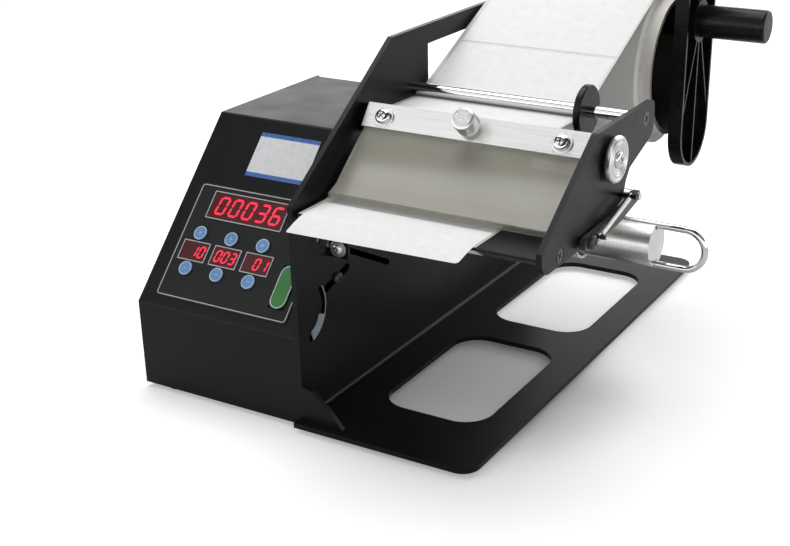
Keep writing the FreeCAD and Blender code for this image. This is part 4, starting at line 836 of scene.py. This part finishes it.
def make_sticker():
    """A bare white plate with a blue band at its top and bottom, on the housing's slope."""
    left, low, width, length, band, thick = 25.2, 80.2, 40.5, 28.0, 2.6, 0.2
    parts = (("plate_white", [(low + band, length - 2 * band)], (0.80, 0.81, 0.83)),
             ("plate_bands", [(low, band), (low + length - band, band)], (0.05, 0.16, 0.48)))
    for name, rows, colour in parts:
        work = bmesh.new()
        for start, tall in rows:
            panel_slab(work, rectangle(left, start, left + width, start + tall),
                       -OVERLAY_FILM, thick - OVERLAY_FILM)
        item = from_bmesh(name, work)
        darker = tuple(part * 0.9 for part in colour)
        item.data.materials.append(printed(name + "_ink", darker, colour, 400, 0.3,
                                           (0.25, 0.35)))
        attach(item, "frame")


# Screws, knob and wheel

FRAME_SHEET = 3.0
PEEL_SCREW = (15.25, 0.4)    # behind the peel plate's front, and above its middle

BAR_OUT = -Vector(next(joint["axis"] for joint in frame["joints"]
                       if joint["name"] == "thumb_turn")).normalized()
BAR_UP = Vector((0, BAR_OUT.z, -BAR_OUT.y))


def bar_spot(corners):
    """Where the axis of a turned piece meets the clamp bar's front face."""
    face = reach_along(corners_of("clamp_bar"), BAR_OUT)[1]
    across, up = [sum(reach_along(corners, axis)) / 2 for axis in (X_AXIS, BAR_UP)]
    return X_AXIS * across + BAR_UP * up + BAR_OUT * face


def make_clamp_screws():
    corners = corners_of("clamp_screws")
    middle = sum(reach_along(corners, X_AXIS)) / 2
    washer_thick = 1.0
    items = []
    for side, turn in ((-1, 15), (1, 55)):
        centre = bar_spot([spot for spot in corners if side * (spot.x - middle) > 0])
        items.append(washer(centre, BAR_OUT, bore=2.1, radius=5.6, thick=washer_thick,
                            bevel=0.15))
        items.append(pan_screw("screw", centre, BAR_OUT, radius=4.3, height=2.8, shank=2.0,
                               length=5.8, turn=turn, seat=washer_thick))
    made = merged("bar_screws", items)
    finish(made, "bright")
    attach(made, "frame")
    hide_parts("clamp_screws")


def knurl(stations, count, depth):
    """Straight knurling: a fine zigzag on the stations with the given numbers."""
    def ridge(number, share):
        wave = abs((share * count) % 1.0 - 0.5) * 2
        return -depth * wave if number in stations else 0
    return ridge


def make_thumb_screw():
    corners = corners_of("thumb_screw")
    centre = bar_spot(corners)
    lo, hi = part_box("thumb_screw")
    radius = (hi.x - lo.x) / 2 / MM
    face = centre.dot(BAR_OUT)
    low, high = reach_along(corners, BAR_OUT)
    length = (high - face) / MM
    back = (face - low) / MM
    shank, collar = 1.95, 3.8
    stations = [(-back, 1.6), (-back + 0.4, shank), (0.1, shank), (0.1, collar), (2.2, collar),
                (2.2, radius - 0.9), (2.7, radius - 0.2), (3.1, radius), (length - 1.0, radius),
                (length - 0.6, radius - 0.2), (length - 0.1, radius - 0.9),
                (length, radius - 1.3), (length, radius - 2.0), (length - 0.25, radius - 2.2),
                (length - 0.25, radius - 2.6), (length, radius - 2.8), (length, 1.2),
                (length - 0.3, 0.8)]
    made = lathe("knurled_thumb_screw", stations, centre, BAR_OUT, 216,
                 knurl((7, 8), count=54, depth=0.35))
    finish(made, "alu")
    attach(made, "thumb")
    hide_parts("thumb_screw")


def make_hand_wheel():
    lo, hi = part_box("hand_wheel")
    middle = (lo + hi) / 2
    centre = Vector((lo.x, middle.y, middle.z))
    radius = (hi.y - lo.y) / 2 / MM
    thick = (hi.x - lo.x) / MM
    bore, hub = 3.0, 5.0
    stations = [(0, bore), (0, radius - 0.9), (0.5, radius - 0.3), (0.9, radius),
                (thick - 1.0, radius), (thick - 0.6, radius - 0.3), (thick, radius - 1.0),
                (thick, radius - 2.2), (thick - 0.35, radius - 2.5),
                (thick - 0.35, radius - 3.2), (thick - 0.1, radius - 3.4),
                (thick - 0.1, radius - 4.2), (thick - 0.4, radius - 4.5),
                (thick - 0.4, radius - 5.2), (thick - 0.8, radius - 5.5), (thick - 0.8, hub),
                (thick - 1.0, hub - 0.1), (thick - 1.0, bore)]
    made = tube_ring("knurled_hand_wheel", stations, centre, X_AXIS, 288,
                     knurl((3, 4), count=72, depth=0.4))
    finish(made, "alu")
    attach(made, "feed_drum")
    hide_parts("hand_wheel")


def make_wheel_screw():
    lo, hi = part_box("hand_wheel_screw")
    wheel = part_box("hand_wheel")
    middle = (lo + hi) / 2
    centre = Vector((wheel[0].x, middle.y, middle.z))
    made = pan_screw("wheel_screw", centre, X_AXIS, radius=4.4, height=2.3, shank=1.5,
                     length=5.9, turn=35, seat=(wheel[1].x - wheel[0].x) / MM - 1.0)
    finish(made, "bright")
    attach(made, "feed_drum")
    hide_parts("hand_wheel_screw")


def make_sensor_screw():
    """The washer screw on the front of the sensor's bracket."""
    lo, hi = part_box("sensor_screw")
    middle = (lo + hi) / 2
    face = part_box("sensor_bracket")[0].y
    centre = Vector((middle.x, face, middle.z))
    thick = 0.8
    ring = washer(centre, FRONT, bore=1.75, radius=4.7, thick=thick, bevel=0.1)
    screw = pan_screw("screw", centre, FRONT, radius=2.7, height=1.5, shank=1.7,
                      length=(hi.y - face) / MM, turn=10, seat=thick)
    made = merged("washer_screw", [ring, screw])
    finish(made, "alu")
    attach(made, "sensor_slider")
    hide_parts("sensor_screw")


def make_slot_screw():
    lo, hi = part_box("slot_screw")
    middle = (lo + hi) / 2
    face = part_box("guide_rod")[0].x
    centre = Vector((face, middle.y, middle.z))
    made = pan_screw("small_slot_screw", centre, X_AXIS, radius=3.4, height=2.2, shank=2.1,
                     length=(face - lo.x) / MM, turn=30)
    finish(made, "black_screw")
    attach(made, "frame")
    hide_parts("slot_screw")


def bent_bar(work, middle, first, last, inner, outer, low, high):
    """A bar bent about a line along X, between two angles in degrees, radii and places."""
    steps = max(4, int((last - first) / 4))
    angles = [math.radians(first + (last - first) * step / steps) for step in range(steps + 1)]
    rows = [[work.verts.new((x, middle.y + size * math.cos(angle),
                             middle.z + size * math.sin(angle))) for angle in angles]
            for size, x in ((inner, low), (inner, high), (outer, high), (outer, low))]
    for one, two in zip(rows, rows[1:] + rows[:1]):
        for step in range(steps):
            work.faces.new((one[step], one[step + 1], two[step + 1], two[step]))
    for step in (0, -1):
        work.faces.new([row[step] for row in rows])


def make_sensor_eye():
    """The sensor's clear blue tab with its thin bent edge along the arc slot."""
    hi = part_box("sensor_eye")[1]
    corners = corners_of("sensor_eye")
    outer = [corner for corner in corners if corner.y > hi.y - 0.02 * MM]
    level = sum(corner.z for corner in outer) / len(outer)
    tip = max(corners, key=lambda corner: corner.z)
    rise = tip.z - level
    radius = ((hi.y - tip.y) ** 2 + rise ** 2) / (2 * (hi.y - tip.y))
    middle = Vector((0, hi.y - radius, level))
    work = bmesh.new()
    for first, last, depth in ((-72, -22, 5.8), (-22, 34, 0.35)):
        bent_bar(work, middle, first, last, radius - depth * MM, radius, hi.x - 0.5 * MM, hi.x)
    made = from_bmesh("sensor_window", work)
    finish(made, "sensor")
    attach(made, "frame")
    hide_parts("sensor_eye")


def make_lever_pivot():
    """The lever's pivot screw with a hexagonal nut at its inner end."""
    lo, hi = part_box("lever_pivot")
    middle = (lo + hi) / 2
    head, shank, nut_thick = 2.6, 2.0, 3
    seat = Vector((hi.x - head * MM, middle.y, middle.z))
    back = (seat.x - lo.x) / MM
    screw = pan_screw("pivot_screw", seat, X_AXIS, radius=3.6, height=head, shank=shank,
                      length=back, turn=45)
    nut = tube_ring("nut", [(-back, shank), (-back, 3.2), (-back + 0.2, 3.4),
                            (-back + nut_thick, 3.4), (-back + nut_thick, shank)],
                    seat, X_AXIS, 6)
    made = merged("lever_pivot_screw", [screw, nut])
    finish(made, "black_screw")
    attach(made, "frame")
    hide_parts("lever_pivot")


def make_cross_screws():
    """Two countersunk screws in the small plate and two pan screws behind the frame plate."""
    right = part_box("cross_screws")[1].x
    rod_low, rod_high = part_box("guide_rod")
    plate_low, plate_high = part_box("peel_plate")
    rod = (rod_low + rod_high) / 2
    plate = (plate_low + plate_high) / 2
    back, above = PEEL_SCREW
    places = ((rod.y, rod.z), (plate_low.y + back * MM, plate.z + above * MM))
    items = []
    for (y, z), turn in zip(places, (20, 55)):
        outside = Vector((right, y, z))
        sunk = lathe("screw", [(-9, 1.6), (-8.6, 2.0), (-2, 2.0), (-0.15, 3.85), (0, 3.9)],
                     outside, X_AXIS, 48)
        items.append(carved(sunk, cross_recess(outside, X_AXIS, top=0, reach=2.5, width=0.95,
                                               depth=1.7, turn=turn)))
        behind = Vector((rod_low.x - FRAME_SHEET * MM, y, z))
        items.append(pan_screw("screw", behind, -X_AXIS, radius=4.0, height=2.4, shank=2.0,
                               length=9, turn=15))
    made = merged("plate_screws", items)
    finish(made, "black_screw")
    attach(made, "frame")
    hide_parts("cross_screws")


# Spring

SPRING_WIRE = 0.3    # radius
SPRING_PITCH = 2.3    # in radii of the wire
SPRING_STEPS = 14    # for each turn, and for each hook
SPRING_SHARP = 60
HOOK_RADIUS = 1.5
HOOK_PLACE = 2.5
HOOK_STEP = 22


def hook_spots(end, out, up, first):
    """A round hook beyond an end of the spring, from the first angle backwards."""
    stud = end + out * HOOK_PLACE * MM
    angles = [math.radians(first - step * HOOK_STEP) for step in range(SPRING_STEPS)]
    return [stud + (out * math.cos(angle) + up * math.sin(angle)) * HOOK_RADIUS * MM
            for angle in angles]


def spring_ends(corners, middle, along):
    """The middles of the two ends of a long node."""
    ends = []
    for side in (-1, 1):
        near = [spot for spot in corners if side * (spot - middle).dot(along) > 0]
        ends.append(sum(near, Vector()) / len(near))
    return ends


def make_spring():
    """The tension spring: a close helix of wire with a hook at each end."""
    lo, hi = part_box("tension_spring")
    along = Vector((0, hi.y - lo.y, hi.z - lo.z))
    start, end = spring_ends(corners_of("tension_spring"), (lo + hi) / 2, along)
    axis = (end - start).normalized()
    up = axis.cross(X_AXIS).normalized()
    wire = SPRING_WIRE * MM
    coil = (hi.x - lo.x) / 2 - wire
    total = int((end - start).length / (wire * SPRING_PITCH)) * SPRING_STEPS
    spots = hook_spots(start, -axis, up, -60)
    for step in range(total + 1):
        angle = 2 * math.pi * step / SPRING_STEPS
        centre = start.lerp(end, step / total)
        spots.append(centre + (X_AXIS * math.sin(angle) + up * math.cos(angle)) * coil)
    spots += hook_spots(end, axis, up, 150)
    curve = bpy.data.curves.new("spring_wire", "CURVE")
    curve.dimensions = "3D"
    curve.bevel_depth = wire
    curve.bevel_resolution = 2
    line = curve.splines.new("POLY")
    line.points.add(len(spots) - 1)
    for point, spot in zip(line.points, spots):
        point.co = (*spot, 1)
    temporary = new_piece("spring_curve", curve)
    mesh = shaped_mesh(temporary)
    bpy.data.objects.remove(temporary)
    smooth(mesh, SPRING_SHARP)
    made = new_piece("coil_spring", mesh)
    finish(made, "steel")
    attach(made, "frame")
    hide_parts("tension_spring")


# Web and labels

LABEL_LEFT = 3.0     # from the liner's edges to the labels
LABEL_RIGHT = 1.2
LABEL_FILM = 0.1
LABEL_GAP = 1.9
GAP_PLACES = (0.036, 0.070, 0.1135, 0.1585)    # front edge of each gap, in metres along Y
LABEL_START = 2.0    # from the peeled label back to the next one

PEEL_FILM = 0.12
PEEL_EDGE = 4.0      # from the peel plate's front back to where the label starts to fall
PEEL_FALLS = (4.8, 3.4)    # at the left and right of its front edge
PEEL_BEND = 1.7      # how the fall grows with the way from the plate: a power
PEEL_CORNERS = (0.8, 2.2)
PEEL_SINK = 0.03
PEEL_ROWS = 28
PEEL_COLUMNS = 30


def cut_across(work, spot, normal, drop):
    """Cut a mesh along a plane, and drop what lies beyond it where that is asked."""
    geometry = work.verts[:] + work.edges[:] + work.faces[:]
    bmesh.ops.bisect_plane(work, geom=geometry, plane_co=spot, plane_no=normal,
                           clear_outer=drop)


def make_web_labels():
    """The labels that ride on the liner: its upper face, lifted, with gaps between them."""
    lo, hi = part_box("liner_web")
    work = bmesh.new()
    work.from_mesh(nodes["liner_web"].data)
    bmesh.ops.remove_doubles(work, verts=work.verts, dist=1e-6)
    work.normal_update()
    lower = [face for face in work.faces if face.normal.z < 0.25 or abs(face.normal.x) > 0.5]
    bmesh.ops.delete(work, geom=lower, context="FACES")
    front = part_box("front_label")[1].y + LABEL_START * MM
    for spot, normal in (((hi.x - LABEL_RIGHT * MM, 0, 0), X_AXIS),
                         ((lo.x + LABEL_LEFT * MM, 0, 0), -X_AXIS), ((0, front, 0), -Y_AXIS)):
        cut_across(work, Vector(spot), normal, True)
    for start in GAP_PLACES:
        end = start + LABEL_GAP * MM
        for place in (start, end):
            cut_across(work, Vector((0, place, 0)), Y_AXIS, False)
        inside = [face for face in work.faces if start < face.calc_center_median().y < end]
        bmesh.ops.delete(work, geom=inside, context="FACES")
    mesh = mesh_from("web_labels", work)
    smooth(mesh)
    made = new_piece("web_labels", mesh)
    thicken(made, LABEL_FILM, 1)
    finish(made, "label")
    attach(made, "frame")


def make_front_label():
    """The label that leaves the peel edge: nearly flat, its left corner hanging lower."""
    lo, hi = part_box("front_label")
    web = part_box("liner_web")
    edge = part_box("peel_plate")[0].y + PEEL_EDGE * MM
    left = web[0].x + LABEL_LEFT * MM
    width = (web[1].x - LABEL_RIGHT * MM - left) / MM
    margin = max(PEEL_CORNERS)
    near_edge = [0, 0.25, 0.5, 0.8, 1.2, 1.6, margin]
    between = [margin + (width - 2 * margin) * step / PEEL_COLUMNS
               for step in range(1, PEEL_COLUMNS)]
    work = bmesh.new()
    grid = []
    for u in near_edge + between + [width - value for value in reversed(near_edge)]:
        corner = PEEL_CORNERS[0 if u < width / 2 else 1] * MM
        away = max(0.0, corner - min(u, width - u) * MM)
        cut = corner - math.sqrt(max(0.0, corner ** 2 - away ** 2))
        share = u / width
        fall = PEEL_FALLS[0] * (1 - share) + PEEL_FALLS[1] * share
        line = []
        for step in range(PEEL_ROWS + 1):
            y = hi.y + (lo.y + cut - hi.y) * step / PEEL_ROWS
            down = max(0.0, (edge - y) / (edge - lo.y)) ** PEEL_BEND * fall + PEEL_SINK
            line.append(work.verts.new((left + u * MM, y, hi.z - down * MM)))
        grid.append(line)
    for one, two in zip(grid, grid[1:]):
        for step in range(PEEL_ROWS):
            work.faces.new((one[step], two[step], two[step + 1], one[step + 1]))
    made = from_bmesh("peeled_label", work)
    thicken(made, PEEL_FILM, 0)
    finish(made, "label")
    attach(made, "frame")
    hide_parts("front_label")


make_camera()
make_floor()
make_sky()
make_lights()
dress_nodes()
make_panel_print()
make_digits()
make_key_marks()
make_sticker()
make_clamp_screws()
make_thumb_screw()
make_hand_wheel()
make_wheel_screw()
make_sensor_screw()
make_slot_screw()
make_sensor_eye()
make_lever_pivot()
make_cross_screws()
make_spring()
make_web_labels()
make_front_label()

view = bpy.context.scene.view_settings
view.view_transform = "Standard"
